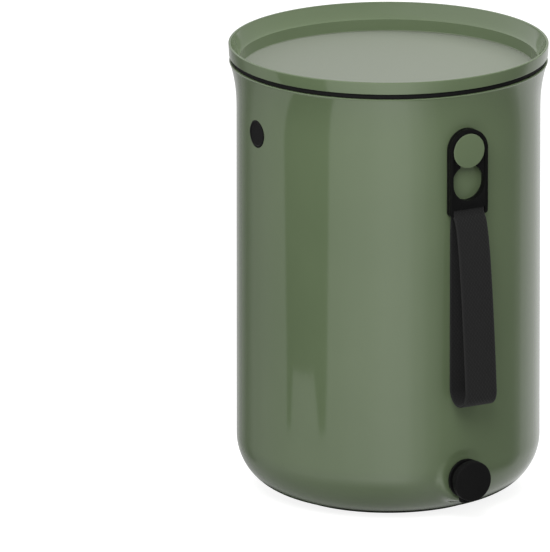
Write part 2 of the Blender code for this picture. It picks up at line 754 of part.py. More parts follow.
def strap_button(side, parts, material):
    """A strap button: head, neck for two plates, and a bored spigot through the wall."""
    shoulder = TUB_RADIUS + SEAT_GAP
    spigot_end = washer_face() + SEAT_GAP
    bottom = spigot_end + BUTTON_SCREW_GRIP
    hole = BUTTON_SCREW_RADIUS + SEAT_GAP
    centre = (BUTTON_HEAD_RADIUS - BUTTON_ROUND, BUTTON_FRONT - BUTTON_ROUND)
    profile = [(0, BUTTON_FRONT)]
    profile += arc(centre, BUTTON_ROUND, 90, 0, ROUND_STEPS)
    profile += [
        (BUTTON_HEAD_RADIUS, BUTTON_NECK),
        (BUTTON_SHANK_RADIUS, BUTTON_NECK),
        (BUTTON_SHANK_RADIUS, shoulder),
        (BUTTON_SPIGOT_RADIUS, shoulder),
        (BUTTON_SPIGOT_RADIUS, spigot_end),
        (hole, spigot_end),
        (hole, bottom),
        (0, bottom),
    ]
    obj = turned(side + "_button", profile, SMALL_STEPS, parts, material)
    return face(obj, side, BUTTON_Z)


def button_fixings(side, parts, cutters, material):
    """The washer and the slotted screw that hold a button from inside."""
    washer_out = washer_face()
    washer_in = washer_out - WASHER_THICKNESS
    ring(
        side + "_button_washer", BUTTON_SCREW_RADIUS + SEAT_GAP, WASHER_RADIUS, washer_in, washer_out,
        TINY_STEPS, parts, material, side, BUTTON_Z,
    )
    head_out = washer_in - SEAT_GAP
    head_in = screw_head_face()
    tip = washer_out + BUTTON_SCREW_GRIP
    profile = [
        (0, tip),
        (BUTTON_SCREW_RADIUS, tip - BUTTON_SCREW_RADIUS),
        (BUTTON_SCREW_RADIUS, head_out),
        (SCREW_HEAD_RADIUS, head_out),
        (SCREW_HEAD_RADIUS, head_in + SCREW_SLOT_DEPTH),
        (SCREW_HEAD_RADIUS - SCREW_SLOT_DEPTH, head_in),
        (0, head_in),
    ]
    obj = turned(side + "_button_screw", profile, TINY_STEPS, parts, material)
    face(obj, side, BUTTON_Z)
    reach = SCREW_HEAD_RADIUS + OVERRUN
    half = SCREW_SLOT_WIDTH / 2
    slot = block(
        side + "_screw_slot",
        (-reach, -half, head_in - OVERRUN),
        (reach, half, head_in + SCREW_SLOT_DEPTH),
        cutters,
    )
    cut(obj, face(slot, side, BUTTON_Z))


def side_plug(side, parts, material):
    """A snap-in blanking plug: a dished flange let into the wall and a hollow barbed stem."""
    seat = TUB_RADIUS - SIDE_PLUG_SEAT_DEPTH + SEAT_GAP
    front = seat + SIDE_PLUG_FLANGE
    barb = plug_barb_face()
    end = plug_stem_end()
    rim = SIDE_PLUG_RADIUS - SIDE_PLUG_RIM
    hollow = SIDE_PLUG_STEM_RADIUS - SIDE_PLUG_STEM_WALL
    profile = [
        (0, front - SIDE_PLUG_DISH),
        (rim - SIDE_PLUG_DISH, front - SIDE_PLUG_DISH),
        (rim, front),
        (SIDE_PLUG_RADIUS - SIDE_PLUG_DISH, front),
        (SIDE_PLUG_RADIUS, front - SIDE_PLUG_DISH),
        (SIDE_PLUG_RADIUS, seat),
        (SIDE_PLUG_STEM_RADIUS, seat),
        (SIDE_PLUG_STEM_RADIUS, barb),
        (SIDE_PLUG_STEM_RADIUS + SIDE_PLUG_BARB, barb),
        (SIDE_PLUG_STEM_RADIUS, barb - SIDE_PLUG_BARB_LENGTH),
        (SIDE_PLUG_STEM_RADIUS, end),
        (hollow, end),
        (hollow, seat),
        (0, seat),
    ]
    obj = turned(side + "_side_plug", profile, TINY_STEPS, parts, material)
    return face(obj, side, PLUG_Z)


def plate_outline():
    """A plate's outside: a round top and a square end with small rounds, about the button's axis."""
    half = PLATE_WIDTH / 2
    round_end = PLATE_END_ROUND
    points = arc((0, PLATE_RISE - half), half, 0, 180, PLATE_TOP_STEPS)
    points += arc((round_end - half, round_end - PLATE_DROP), round_end, 180, 270, PLATE_END_STEPS)
    points += arc((half - round_end, round_end - PLATE_DROP), round_end, 270, 360, PLATE_END_STEPS)
    return points


def keyhole():
    """The hole through a plate: a seat for the neck, a slot, and a circle that passes the head."""
    spread = math.degrees(math.asin(KEY_SLOT_HALF / KEY_RADIUS))
    points = arc((0, 0), KEY_SLOT_HALF, 0, 180, SEAT_STEPS)
    points += arc((0, -KEY_TRAVEL), KEY_RADIUS, 90 + spread, 450 - spread, ENTRY_STEPS)
    return points


def head_track():
    """The sunk track that the head lies in, from the seat down to the entry circle."""
    points = arc((0, 0), KEY_RADIUS, 0, 180, TRACK_STEPS)
    points += arc((0, -KEY_TRAVEL), KEY_RADIUS, 180, 360, TRACK_STEPS)
    return points


def hook_plate(name, back, turned_round, parts, cutters, material):
    """A keyhole plate. Its head track and its open lip face outwards, or the wall if turned round."""
    front = back + PLATE_THICKNESS
    obj = flat_piece(name, [plate_outline(), keyhole()], back, front, parts, material)
    depth = BUTTON_HEAD + SEAT_GAP
    middle = (back + front) / 2
    pocket_half = WEBBING_THICKNESS / 2 + SEAT_GAP
    if turned_round:
        track = (back - OVERRUN, back + depth)
        channel = (back - OVERRUN, middle + pocket_half)
    else:
        track = (front - depth, front + OVERRUN)
        channel = (middle - pocket_half, front + OVERRUN)
    side = WEBBING_WIDTH / 2 + SEAT_GAP
    under = -PLATE_DROP - OVERRUN
    tools = (
        flat_piece(name + "_track", [head_track()], *track, cutters),
        block(
            name + "_pocket",
            (-side, under, middle - pocket_half),
            (side, WEBBING_HOLD - PLATE_DROP + SEAT_GAP, middle + pocket_half),
            cutters,
        ),
        block(
            name + "_channel",
            (-side, under, channel[0]),
            (side, WEBBING_LIP - PLATE_DROP, channel[1]),
            cutters,
        ),
    )
    face(obj, "front", BUTTON_Z)
    for tool in tools:
        cut(obj, face(tool, "front", BUTTON_Z))
    return obj


def webbing_path():
    """The strap's middle line as (distance out, height above the button), plate to plate."""
    outer = OUTER_PLATE_BACK + PLATE_THICKNESS / 2
    inner = INNER_PLATE_BACK + PLATE_THICKNESS / 2
    half = WEBBING_THICKNESS / 2
    back = TUB_RADIUS + SEAT_GAP + half
    deepest = TUB_RADIUS + LOOP_DEPTH - half
    bend_top = -PLATE_DROP - LOOP_DROP + LOOP_BEND_HEIGHT
    lowest_half = LOOP_BEND_HEIGHT - half
    run = -PLATE_DROP - bend_top
    points = [(outer, WEBBING_HOLD - PLATE_DROP)]
    for step in range(LOOP_RUN_STEPS):
        share = step / LOOP_RUN_STEPS
        out = outer + (deepest - outer) * share**LOOP_FRONT_EXPONENT
        points.append((out, -PLATE_DROP - run * share))
    for x, y in arc((0, 0), 1, 0, 180, LOOP_BEND_STEPS):
        points.append(((deepest + back) / 2 + (deepest - back) / 2 * x, bend_top - lowest_half * y))
    points.append((back, -PLATE_DROP - LOOP_BACK_LEAD))
    points.append((inner, -PLATE_DROP))
    points.append((inner, WEBBING_HOLD - PLATE_DROP))
    return points


def offset_line(points, distance):
    """The line moved sideways by this distance, each point along the mean of its two edges."""
    moved = []
    for i, (x, y) in enumerate(points):
        before = points[max(i - 1, 0)]
        after = points[min(i + 1, len(points) - 1)]
        length = math.hypot(after[0] - before[0], after[1] - before[1])
        moved.append(
            (
                x - distance * (after[1] - before[1]) / length,
                y + distance * (after[0] - before[0]) / length,
            )
        )
    return moved


def strap_webbing(parts, material):
    """The webbing strap, hanging in its stored loop between the two plates."""
    path = webbing_path()
    half = WEBBING_THICKNESS / 2
    outline = offset_line(path, half) + list(reversed(offset_line(path, -half)))
    obj = flat_piece(
        "strap_webbing", [outline], -WEBBING_WIDTH / 2, WEBBING_WIDTH / 2, parts, material
    )
    out_is_minus_y = Matrix(((0, 0, -1, 0), (-1, 0, 0, 0), (0, 1, 0, 0), (0, 0, 0, 1)))
    obj.data.transform(out_is_minus_y)
    obj.location = (0, 0, BUTTON_Z)
    return obj


def main():
    parts, cutters = clear_scene()
    green = plastic("green_plastic", (0.112, 0.152, 0.086), 0.12)
    black = plastic("black_plastic", (0.012, 0.012, 0.013), 0.38)
    grey = plastic("grid_plastic", (0.03, 0.032, 0.03), 0.5)
    rubber = plastic("black_rubber", (0.015, 0.015, 0.016), 0.7)
    fabric = plastic("black_webbing", (0.022, 0.022, 0.023), 0.9)
    steel = plastic("stainless_steel", (0.6, 0.6, 0.61), 0.3, 1.0)

    tub(parts, cutters, green)
    base_pad(parts, rubber)
    lid(parts, green)
    lid_seal(parts, rubber)
    drain_grid(parts, cutters, grey)
    tap_body(parts, cutters, black)
    tap_plug(parts, cutters, black)
    tap_orings(parts, rubber)
    tap_knob(parts, cutters, black)
    tap_gaskets(parts, rubber)
    tap_nut(parts, cutters, black)
    for side in ("front", "rear"):
        strap_button(side, parts, green)
        button_fixings(side, parts, cutters, steel)
    for side in ("left", "right"):
        side_plug(side, parts, black)
    hook_plate("inner_hook_plate", INNER_PLATE_BACK, True, parts, cutters, black)
    hook_plate("outer_hook_plate", OUTER_PLATE_BACK, False, parts, cutters, black)
    strap_webbing(parts, fabric)
    for obj in parts.objects:
        if obj.data.polygons:
            smooth(obj)


main()
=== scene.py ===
# %% [markdown]
# # Dressing a bokashi bin
# The imported model gives every piece of the bin at its real size and place, as plain faceted solids.
# This lesson gives each of them its finished surface: smooth moulded walls, a woven strap, soft edges
# and materials built from nodes. The imported pieces are never moved or resized. Each fine piece hangs
# on an empty for the body that it rides on, and the imported nodes that it stands for are hidden.

# %% Load the frame and keep its box
import contextlib
import math

import bpy
from mathutils import Matrix, Vector


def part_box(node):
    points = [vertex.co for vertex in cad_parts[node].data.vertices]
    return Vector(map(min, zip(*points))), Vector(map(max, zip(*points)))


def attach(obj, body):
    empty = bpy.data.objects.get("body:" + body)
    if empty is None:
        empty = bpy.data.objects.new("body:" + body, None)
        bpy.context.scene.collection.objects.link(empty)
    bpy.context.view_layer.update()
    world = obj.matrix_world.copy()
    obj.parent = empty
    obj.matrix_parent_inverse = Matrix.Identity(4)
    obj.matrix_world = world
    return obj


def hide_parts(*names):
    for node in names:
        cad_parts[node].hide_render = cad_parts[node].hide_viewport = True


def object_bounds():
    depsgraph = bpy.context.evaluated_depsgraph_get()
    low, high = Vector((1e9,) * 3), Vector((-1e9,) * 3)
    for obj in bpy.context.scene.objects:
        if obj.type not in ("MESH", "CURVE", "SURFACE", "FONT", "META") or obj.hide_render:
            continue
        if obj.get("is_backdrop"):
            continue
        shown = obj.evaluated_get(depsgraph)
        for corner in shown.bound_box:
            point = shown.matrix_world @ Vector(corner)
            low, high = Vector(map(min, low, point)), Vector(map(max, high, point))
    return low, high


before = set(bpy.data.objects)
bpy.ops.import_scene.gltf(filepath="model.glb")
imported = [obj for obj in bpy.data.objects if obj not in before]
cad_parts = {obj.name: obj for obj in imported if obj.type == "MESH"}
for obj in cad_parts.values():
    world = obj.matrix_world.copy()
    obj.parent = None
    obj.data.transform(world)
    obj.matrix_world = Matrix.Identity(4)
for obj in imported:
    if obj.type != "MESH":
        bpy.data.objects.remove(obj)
cad_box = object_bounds()
print("box of the packed model:", [[round(x, 4) for x in corner] for corner in cad_box])

# %% [markdown]
# ## The camera
# The photograph was taken from far away with a long lens, so upright lines stay upright and the lid,
# the seam and the base are ellipses of one shape. Three things set the camera: the angle it looks from,
# the real length that one pixel covers, and where the tub's axis falls in the picture. The camera is
# aimed a little beside the bin instead of being shifted, so that it can be turned round the bin later.

# %% Set up the camera
AZIMUTH = math.radians(-29.9)
ELEVATION = math.radians(15.27)
PIXEL_SIZE = 0.0007045
PICTURE_WIDTH = 550
PICTURE_HEIGHT = 552
AXIS_COLUMN = 388.0
GROUND_ROW = 485.5
CAMERA_DISTANCE = 18.5
SENSOR_HEIGHT = 36

camera_back = Vector(
    (math.sin(AZIMUTH) * math.cos(ELEVATION), -math.cos(AZIMUTH) * math.cos(ELEVATION), math.sin(ELEVATION))
)
camera_right = Vector((math.cos(AZIMUTH), math.sin(AZIMUTH), 0))
camera_up = camera_back.cross(camera_right)
across = (PICTURE_WIDTH / 2 - AXIS_COLUMN) * PIXEL_SIZE
above = (GROUND_ROW - PICTURE_HEIGHT / 2) * PIXEL_SIZE
aim = camera_right * across + camera_up * above

camera_axes = Matrix((camera_right, camera_up, camera_back)).transposed()
bpy.ops.object.camera_add(location=aim + camera_back * CAMERA_DISTANCE, rotation=camera_axes.to_euler())
camera = bpy.context.object
camera.data.sensor_fit = "VERTICAL"
camera.data.sensor_height = SENSOR_HEIGHT
camera.data.lens = SENSOR_HEIGHT * CAMERA_DISTANCE / (PICTURE_HEIGHT * PIXEL_SIZE)
bpy.context.scene.camera = camera
bpy.context.scene.view_settings.view_transform = "Standard"
print("lens:", round(camera.data.lens), "mm at", CAMERA_DISTANCE, "m")

# %% [markdown]
# ## Shader maths as plain expressions
# A node tree is a sum in disguise. `Value` wraps a socket and lets `+`, `-`, `*`, `/` and `**` add the
# Math nodes, so `0.1 + noise * 0.03` reads as it is meant. `Paint` is one tree: its `node` method adds
# any node, sets its settings first and then its sockets, and hands back one output as a `Value`.

# %% A socket that can be calculated with


class Value:
    """A socket of a node tree, with arithmetic on numbers."""

    def __init__(self, paint, socket):
        self.paint = paint
        self.socket = socket

    def math(self, operation, first, second=None):
        sockets = {0: first} if second is None else {0: first, 1: second}
        return self.paint.node("ShaderNodeMath", {"operation": operation}, sockets)

    def __add__(self, other):
        return self.math("ADD", self, other)

    def __radd__(self, other):
        return self.math("ADD", other, self)

    def __sub__(self, other):
        return self.math("SUBTRACT", self, other)

    def __rsub__(self, other):
        return self.math("SUBTRACT", other, self)

    def __mul__(self, other):
        return self.math("MULTIPLY", self, other)

    def __rmul__(self, other):
        return self.math("MULTIPLY", other, self)

    def __truediv__(self, other):
        return self.math("DIVIDE", self, other)

    def __pow__(self, other):
        return self.math("POWER", self, other)

    def absolute(self):
        return self.math("ABSOLUTE", self)

    def sine(self):
        return self.math("SINE", self)

    def whole(self):
        return self.math("FLOOR", self)

    def clipped(self):
        """The value, or 0 where it is negative."""
        return self.math("MAXIMUM", self, 0.0)

    def ramp(self, low, high):
        """0 below low and 1 above high, with an eased change between them."""
        ends = {"Value": self, "From Min": low, "From Max": high}
        return self.paint.node("ShaderNodeMapRange", {"interpolation_type": "SMOOTHSTEP"}, ends)


class Paint:
    """A node tree that is filled by calls."""

    def __init__(self, tree):
        self.tree = tree
        self.tree.nodes.clear()

    def node(self, kind, settings=None, sockets=None, output=0):
        made = self.tree.nodes.new(kind)
        for name, value in (settings or {}).items():
            setattr(made, name, value)
        for name, value in (sockets or {}).items():
            if isinstance(value, Value):
                self.tree.links.new(value.socket, made.inputs[name])
            else:
                made.inputs[name].default_value = value
        return Value(self, made.outputs[output]) if made.outputs else made

    def mix(self, share, first, second):
        """A colour between two, by a share from 0 to 1."""
        return self.node("ShaderNodeMix", {"data_type": "RGBA"}, {0: share, 6: first, 7: second}, 2)

    def noise(self, place, scale, detail=2.0, roughness=0.5):
        sockets = {"Vector": place, "Scale": scale, "Detail": detail, "Roughness": roughness}
        return self.node("ShaderNodeTexNoise", {}, sockets)

    def stretched(self, place, x, y, z):
        """The place with each axis scaled, so that a pattern runs longer along some of them."""
        return self.node("ShaderNodeMapping", {}, {"Vector": place, "Scale": (x, y, z)})

    def place(self):
        return self.node("ShaderNodeTexCoord", output="Object")

    def parts_of(self, vector):
        split = self.tree.nodes.new("ShaderNodeSeparateXYZ")
        self.tree.links.new(vector.socket, split.inputs[0])
        return [Value(self, socket) for socket in split.outputs]

    def bump(self, height, distance):
        return self.node("ShaderNodeBump", {}, {"Height": height, "Distance": distance})


def surface(name, build, **fixed):
    """A material whose build function gives the Principled shader's varying sockets."""
    material = bpy.data.materials.new(name)
    material.use_nodes = True
    paint = Paint(material.node_tree)
    shader = paint.node("ShaderNodeBsdfPrincipled", {}, {**fixed, **build(paint)})
    paint.node("ShaderNodeOutputMaterial", {}, {"Surface": shader})
    return material


def grey(level):
    return (level, level, level, 1.0)


# %% [markdown]
# ## The studio
# Glossy plastic is mostly seen by what it mirrors. The photograph shows a broad bright field in front
# that fades to the left, a dark side to the right, and a lighter edge behind it. So the world that
# glossy rays meet is a ramp by compass direction, under an upper field that is brighter on the left.
# Each stop of the ramp is a direction in degrees, 0 towards the camera and more to the right, and a
# level. Everything else is lit by a white dome, brighter overhead, and by two soft lamps. The floor is
# pale and keeps the bin's soft shadow. It lies a hair below the pad, because two faces in one plane
# flicker.

# %% Build the world
DOME_LEVEL = 0.49
DOME_TOP = 0.8
SIDE_STOPS = (
    (-180, 0.65), (-165, 0.6), (-150, 0.38), (-136, 0.14), (-122, 0.42), (-104, 0.62), (-60, 0.9),
    (-42, 1.02), (-22, 1.25), (0, 1.55), (12, 1.5), (23, 1.0), (33, 0.55), (43, 0.22), (56, 0.16),
    (98, 0.16), (109, 0.18), (116, 0.38), (124, 0.85), (136, 0.97), (156, 1.0), (170, 0.8), (180, 0.65),
)
SIDE_PEAK = 2.0
UPPER_LEFT = 1.45
UPPER_RIGHT = 0.65
UPPER_TURN = (-0.7, 0.2)
UPPER_START = (0.0, 0.1)
BACK_DROP = 0.3
BACK_TURN = (0.2, 0.9)
BACK_TOP = (0.15, 0.6)
LOWER_LEVEL = 0.03
LOWER_GAIN = 0.12
LOWER_START = (0.3, 0.8)


def build_world():
    """White to the camera, a ramp by direction to glossy rays, a dome to the rest."""
    world = bpy.data.worlds.new("studio_world")
    world.use_nodes = True
    bpy.context.scene.world = world
    paint = Paint(world.node_tree)
    x, y, z = paint.parts_of(paint.node("ShaderNodeTexCoord", output="Generated"))
    towards = x * math.sin(AZIMUTH) - y * math.cos(AZIMUTH)
    sideways = x * math.cos(AZIMUTH) + y * math.sin(AZIMUTH)
    turn = paint.node("ShaderNodeMath", {"operation": "ARCTAN2"}, {0: sideways, 1: towards})
    ramp = paint.tree.nodes.new("ShaderNodeValToRGB")
    ramp.color_ramp.interpolation = "EASE"
    stops = ramp.color_ramp.elements
    while len(stops) < len(SIDE_STOPS):
        stops.new(0.5)
    for stop, (degrees, level) in zip(stops, SIDE_STOPS):
        stop.position = degrees / 360 + 0.5
        stop.color = grey(level / SIDE_PEAK)
    share = turn / math.tau + 0.5
    paint.tree.links.new(share.socket, ramp.inputs[0])
    side = Value(paint, ramp.outputs[0]) * SIDE_PEAK
    upward = z.ramp(*UPPER_START)
    downward = (0 - z).ramp(*LOWER_START)
    behind = (0 - towards).ramp(*BACK_TURN) * (1 - z.ramp(*BACK_TOP))
    overhead = UPPER_LEFT - sideways.ramp(*UPPER_TURN) * (UPPER_LEFT - UPPER_RIGHT)
    level = side * (1 - upward) + upward * overhead * (1 - behind * BACK_DROP)
    level = level * (1 + downward * LOWER_GAIN) + downward * LOWER_LEVEL
    camera_ray = paint.node("ShaderNodeLightPath", output="Is Camera Ray")
    glossy_ray = paint.node("ShaderNodeLightPath", output="Is Glossy Ray")
    dome = (1 + z.clipped() ** 2 * DOME_TOP) * DOME_LEVEL
    light = level * glossy_ray + (1 - glossy_ray) * dome
    light = light * (1 - camera_ray) + camera_ray
    back = paint.node("ShaderNodeBackground", {}, {"Color": grey(1.0), "Strength": light})
    paint.node("ShaderNodeOutputWorld", {}, {"Surface": back})


build_world()
print("world:", len(SIDE_STOPS), "directions")

# %% Lay the floor and hang two soft lamps
FLOOR_SIZE = 12
FLOOR_DROP = 0.0001
FLOOR_COLOUR = grey(0.58)
FLOOR_GLOW = 0.86
SHADOW_SHARE = 0.3
# The glow that glossy rays see near the bin: painted light, brighter to the right, with a painted shadow
# ring round the base.
PAINTED_GLOW_LEFT = 0.48
PAINTED_GLOW_RIGHT = 0.88
PAINTED_GLOW_TURN = (-0.03, 0.085)
PAINTED_SHADOW_DARK = 0.074
PAINTED_SHADOW_CLEAR = 0.084
PAINTED_SHADOW_STRETCH = 0.85
MIRRORED_FULLY = 0.118
MIRRORED_NOT = 0.16
LAMPS = (
    ("soft_lamp", (-0.56, -0.68, 1.0), 0.7, 10.5),
    ("lid_lamp", (0.34, 0.12, 0.62), 0.3, 1.5),
)


def build_floor():
    """A pale floor. The camera sees it lifted to white, with part of the shadow kept.

    Glossy rays meet it only near the bin, where it glows with painted light, brighter to the right, and a
    painted shadow makes it dark right round the base. Beyond that they meet the world's ramp.
    """
    bpy.ops.mesh.primitive_plane_add(size=FLOOR_SIZE, location=(0, 0, -FLOOR_DROP))
    floor = bpy.context.object
    floor.name = "studio_floor"
    material = bpy.data.materials.new("pale_floor")
    material.use_nodes = True
    paint = Paint(material.node_tree)
    matt = paint.node("ShaderNodeBsdfDiffuse", {}, {"Color": FLOOR_COLOUR})
    glow = paint.node("ShaderNodeEmission", {}, {"Color": grey(1.0), "Strength": FLOOR_GLOW / SHADOW_SHARE})
    seen = paint.node("ShaderNodeLightPath", output="Is Camera Ray")
    both = paint.node("ShaderNodeMixShader", {}, {0: seen * SHADOW_SHARE, 1: matt, 2: glow})
    x, y, _ = paint.parts_of(paint.place())
    away = (x * x + y * y) ** 0.5
    sideways = x * math.cos(AZIMUTH) + y * math.sin(AZIMUTH)
    forward = x * math.sin(AZIMUTH) - y * math.cos(AZIMUTH)
    # Painted light and shadow for glossy rays: the floor near the bin glows, brighter to the right, and a
    # painted contact shadow darkens it right round the base.
    level = PAINTED_GLOW_LEFT + sideways.ramp(*PAINTED_GLOW_TURN) * (PAINTED_GLOW_RIGHT - PAINTED_GLOW_LEFT)
    painted_contact_shadow = ((sideways * PAINTED_SHADOW_STRETCH) ** 2 + forward * forward) ** 0.5
    level = level * painted_contact_shadow.ramp(PAINTED_SHADOW_DARK, PAINTED_SHADOW_CLEAR)
    near = paint.node("ShaderNodeEmission", {}, {"Color": grey(1.0), "Strength": level})
    through = paint.node("ShaderNodeBsdfTransparent", {}, {})
    far = away.ramp(MIRRORED_FULLY, MIRRORED_NOT)
    mirrored = paint.node("ShaderNodeMixShader", {}, {0: far, 1: near, 2: through})
    glossy = paint.node("ShaderNodeLightPath", output="Is Glossy Ray")
    whole = paint.node("ShaderNodeMixShader", {}, {0: glossy, 1: both, 2: mirrored})
    paint.node("ShaderNodeOutputMaterial", {}, {"Surface": whole})
    floor.data.materials.append(material)
    floor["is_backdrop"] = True


def build_lamp(name, place, size, power):
    """A square soft lamp, aimed at the bin's middle, that mirrors leave out."""
    bpy.ops.object.light_add(type="AREA", location=place)
    lamp = bpy.context.object
    lamp.name = name
    lamp.data.size = size
    lamp.data.energy = power
    lamp.visible_glossy = False
    lamp.visible_camera = False
    target = Vector((0, 0, cad_box[1][2] / 2))
    lamp.rotation_euler = (target - lamp.location).to_track_quat("-Z", "Y").to_euler()


build_floor()
for lamp in LAMPS:
    build_lamp(*lamp)
print("floor and", len(LAMPS), "lamps in place")

# %% [markdown]
# ## Drawing and spinning
# Most of this bin is round, so most pieces start as a line. A plane is merged to one vertex, the vertex
# is extruded from point to point down the outer side of the piece, and the line is spun about the axis.
# A corner of the line can carry a radius, because no moulded edge is perfectly sharp: it is the small
# round that catches the light. Six radii, from fine to round, serve nearly all the edges.

# %% Select, edit and settle
@contextlib.contextmanager
def editing(obj):
    """Edit mode on one object alone, where vertices are selected."""
    bpy.ops.object.select_all(action="DESELECT")
    obj.select_set(True)
    bpy.context.view_layer.objects.active = obj
    bpy.context.tool_settings.mesh_select_mode = (True, False, False)
    bpy.ops.object.mode_set(mode="EDIT")
    yield
    bpy.ops.object.mode_set(mode="OBJECT")


def start(name, add, **options):
    """Adds a primitive, alone in the selection, and names it."""
    bpy.ops.object.select_all(action="DESELECT")
    add(**options)
    obj = bpy.context.object
    obj.name = name
    obj.data.name = name
    return obj


def settle(obj):
    """Moves the object's place and turn into its mesh."""
    bpy.ops.object.select_all(action="DESELECT")
    obj.select_set(True)
    bpy.context.view_layer.objects.active = obj
    bpy.ops.object.transform_apply(location=True, rotation=True, scale=True)
    return obj


# %% Lines with round corners
FINE_EDGE = 0.0002
CRISP_EDGE = 0.0003
PLAIN_EDGE = 0.0004
MILD_EDGE = 0.0005
SOFT_EDGE = 0.0006
ROUND_EDGE = 0.0008


def bow(centre, radius, first, last, steps):
    """Points of an arc between two angles in degrees, both ends among them."""
    points = []
    for step in range(steps + 1):
        angle = math.radians(first + (last - first) * step / steps)
        points.append((centre[0] + radius * math.cos(angle), centre[1] + radius * math.sin(angle)))
    return points


def rounded(corners, steps=4, closed=False):
    """A line through (x, y) corners, with an arc in each corner that carries a radius as well."""
    line = []
    for i, corner in enumerate(corners):
        middle = Vector(corner[:2])
        if len(corner) < 3:
            line.append(tuple(middle))
            continue
        before = (Vector(corners[i - 1][:2]) - middle).normalized()
        after = (Vector(corners[(i + 1) % len(corners)][:2]) - middle).normalized()
        half = before.angle(after) / 2
        centre = middle + (before + after).normalized() * (corner[2] / math.sin(half))
        arms = [middle + arm * (corner[2] / math.tan(half)) - centre for arm in (before, after)]
        first = math.degrees(math.atan2(arms[0].y, arms[0].x))
        sweep = math.degrees(math.atan2(arms[0].cross(arms[1]), arms[0].dot(arms[1])))
        line += bow(centre, corner[2], first, first + sweep, steps)
    return line + line[:1] if closed else line


# %% Pieces from drawn lines
SEED_SIZE = 0.01
WELD_DISTANCE = 0.000001
FACING = {
    "front": (math.pi / 2, 0, 0),
    "rear": (-math.pi / 2, 0, 0),
    "left": (0, -math.pi / 2, 0),
    "right": (0, math.pi / 2, 0),
}


def drawn(name, points):
    """One vertex, extruded from point to point."""
    obj = start(name, bpy.ops.mesh.primitive_plane_add, size=SEED_SIZE)
    with editing(obj):
        bpy.ops.mesh.select_all(action="SELECT")
        bpy.ops.mesh.merge(type="CENTER")
        bpy.ops.transform.translate(value=points[0])
        for before, after in zip(points, points[1:]):
            step = Vector(after) - Vector(before)
            bpy.ops.mesh.extrude_vertices_move(TRANSFORM_OT_translate={"value": step})
    return obj


def closed_up():
    """In edit mode: welds what meets and turns every face outwards."""
    bpy.ops.mesh.select_all(action="SELECT")
    bpy.ops.mesh.remove_doubles(threshold=WELD_DISTANCE)
    bpy.ops.mesh.normals_make_consistent(inside=False)


def turned(name, profile, sectors, first_angle=0.0):
    """Spins a profile of (radius, height) about Z, by a count of steps or sectors of (degrees, steps)."""
    if isinstance(sectors, int):
        sectors = ((360, sectors),)
    lead = Vector((math.cos(math.radians(first_angle)), math.sin(math.radians(first_angle)), 0))
    obj = drawn(name, [lead * radius + Vector((0, 0, height)) for radius, height in profile])
    with editing(obj):
        bpy.ops.mesh.select_all(action="SELECT")
        for degrees, steps in sectors:
            bpy.ops.mesh.spin(steps=steps, angle=math.radians(degrees), center=(0, 0, 0), axis=(0, 0, 1))
        closed_up()
    return obj


def slab(name, outline, low, high):
    """A flat outline of (x, y) points, filled and pulled up from one height to another."""
    obj = drawn(name, [(x, y, low) for x, y in outline])
    with editing(obj):
        bpy.ops.mesh.select_all(action="SELECT")
        bpy.ops.mesh.remove_doubles(threshold=WELD_DISTANCE)
        bpy.ops.mesh.edge_face_add()
        bpy.ops.mesh.extrude_region_move(TRANSFORM_OT_translate={"value": (0, 0, high - low)})
        closed_up()
    return obj


def face(obj, side, height):
    """Turns a piece's own Z out of one side of the tub at a height, and bakes that into its mesh."""
    obj.rotation_euler = FACING[side]
    obj.location = (0, 0, height)
    return settle(obj)


def apply(obj, kind, **settings):
    """Adds a modifier and applies it."""
    change = obj.modifiers.new(kind.lower(), kind)
    for name, value in settings.items():
        setattr(change, name, value)
    bpy.context.view_layer.objects.active = obj
    bpy.ops.object.modifier_apply(modifier=change.name)


def combine(obj, operation, *tools):
    """Joins tools on to a piece, or cuts them out of it, and removes them."""
    for tool in tools:
        apply(obj, "BOOLEAN", object=tool, operation=operation, solver="EXACT")
        bpy.data.objects.remove(tool)
    return obj


def as_one(name, pieces):
    """Several pieces made one object."""
    bpy.ops.object.select_all(action="DESELECT")
    for piece in pieces:
        piece.select_set(True)
    bpy.context.view_layer.objects.active = pieces[0]
    bpy.ops.object.join()
    pieces[0].name = name
    return pieces[0]


def dress(obj, body, material, slot, *nodes, angle=32):
    """Smooths a piece, gives it its finish, hangs it on its body's empty, and hides the nodes it stands for.
    """
    bpy.ops.object.select_all(action="DESELECT")
    obj.select_set(True)
    bpy.context.view_layer.objects.active = obj
    bpy.ops.object.shade_smooth_by_angle(angle=math.radians(angle))
    obj.data.materials.clear()
    obj.data.materials.append(material)
    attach(obj, body)
    if nodes:
        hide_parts(*nodes)
    print(obj.name, len(obj.data.polygons), "faces")


# %% [markdown]
# ## A dark card on legs
# The tub mirrors a dark upright shape that stands on two legs, some 20 cm away. Photographers put such
# a card beside glossy things on purpose, because a bright thing with nothing dark to mirror looks flat.
# It is drawn flat, pulled to thickness and stood up. Only glossy rays see it.

# %% Stand the card
CARD_NEAR = (-0.218, 0.264)
CARD_FAR = (-0.315, 0.090)
CARD_THICKNESS = 0.004
CARD_HIGH = 0.28
CARD_LOW = 0.0445
CARD_BODY = ((-0.1033, CARD_HIGH), (0.1057, CARD_HIGH), (0.0935, CARD_LOW))
CARD_RIGHT_LEG = ((0.0875, 0), (0.0625, 0), (0.0385, CARD_LOW))
CARD_LEFT_LEG = ((-0.053, CARD_LOW), (-0.0635, 0), (-0.0805, 0), (-0.0815, CARD_LOW))


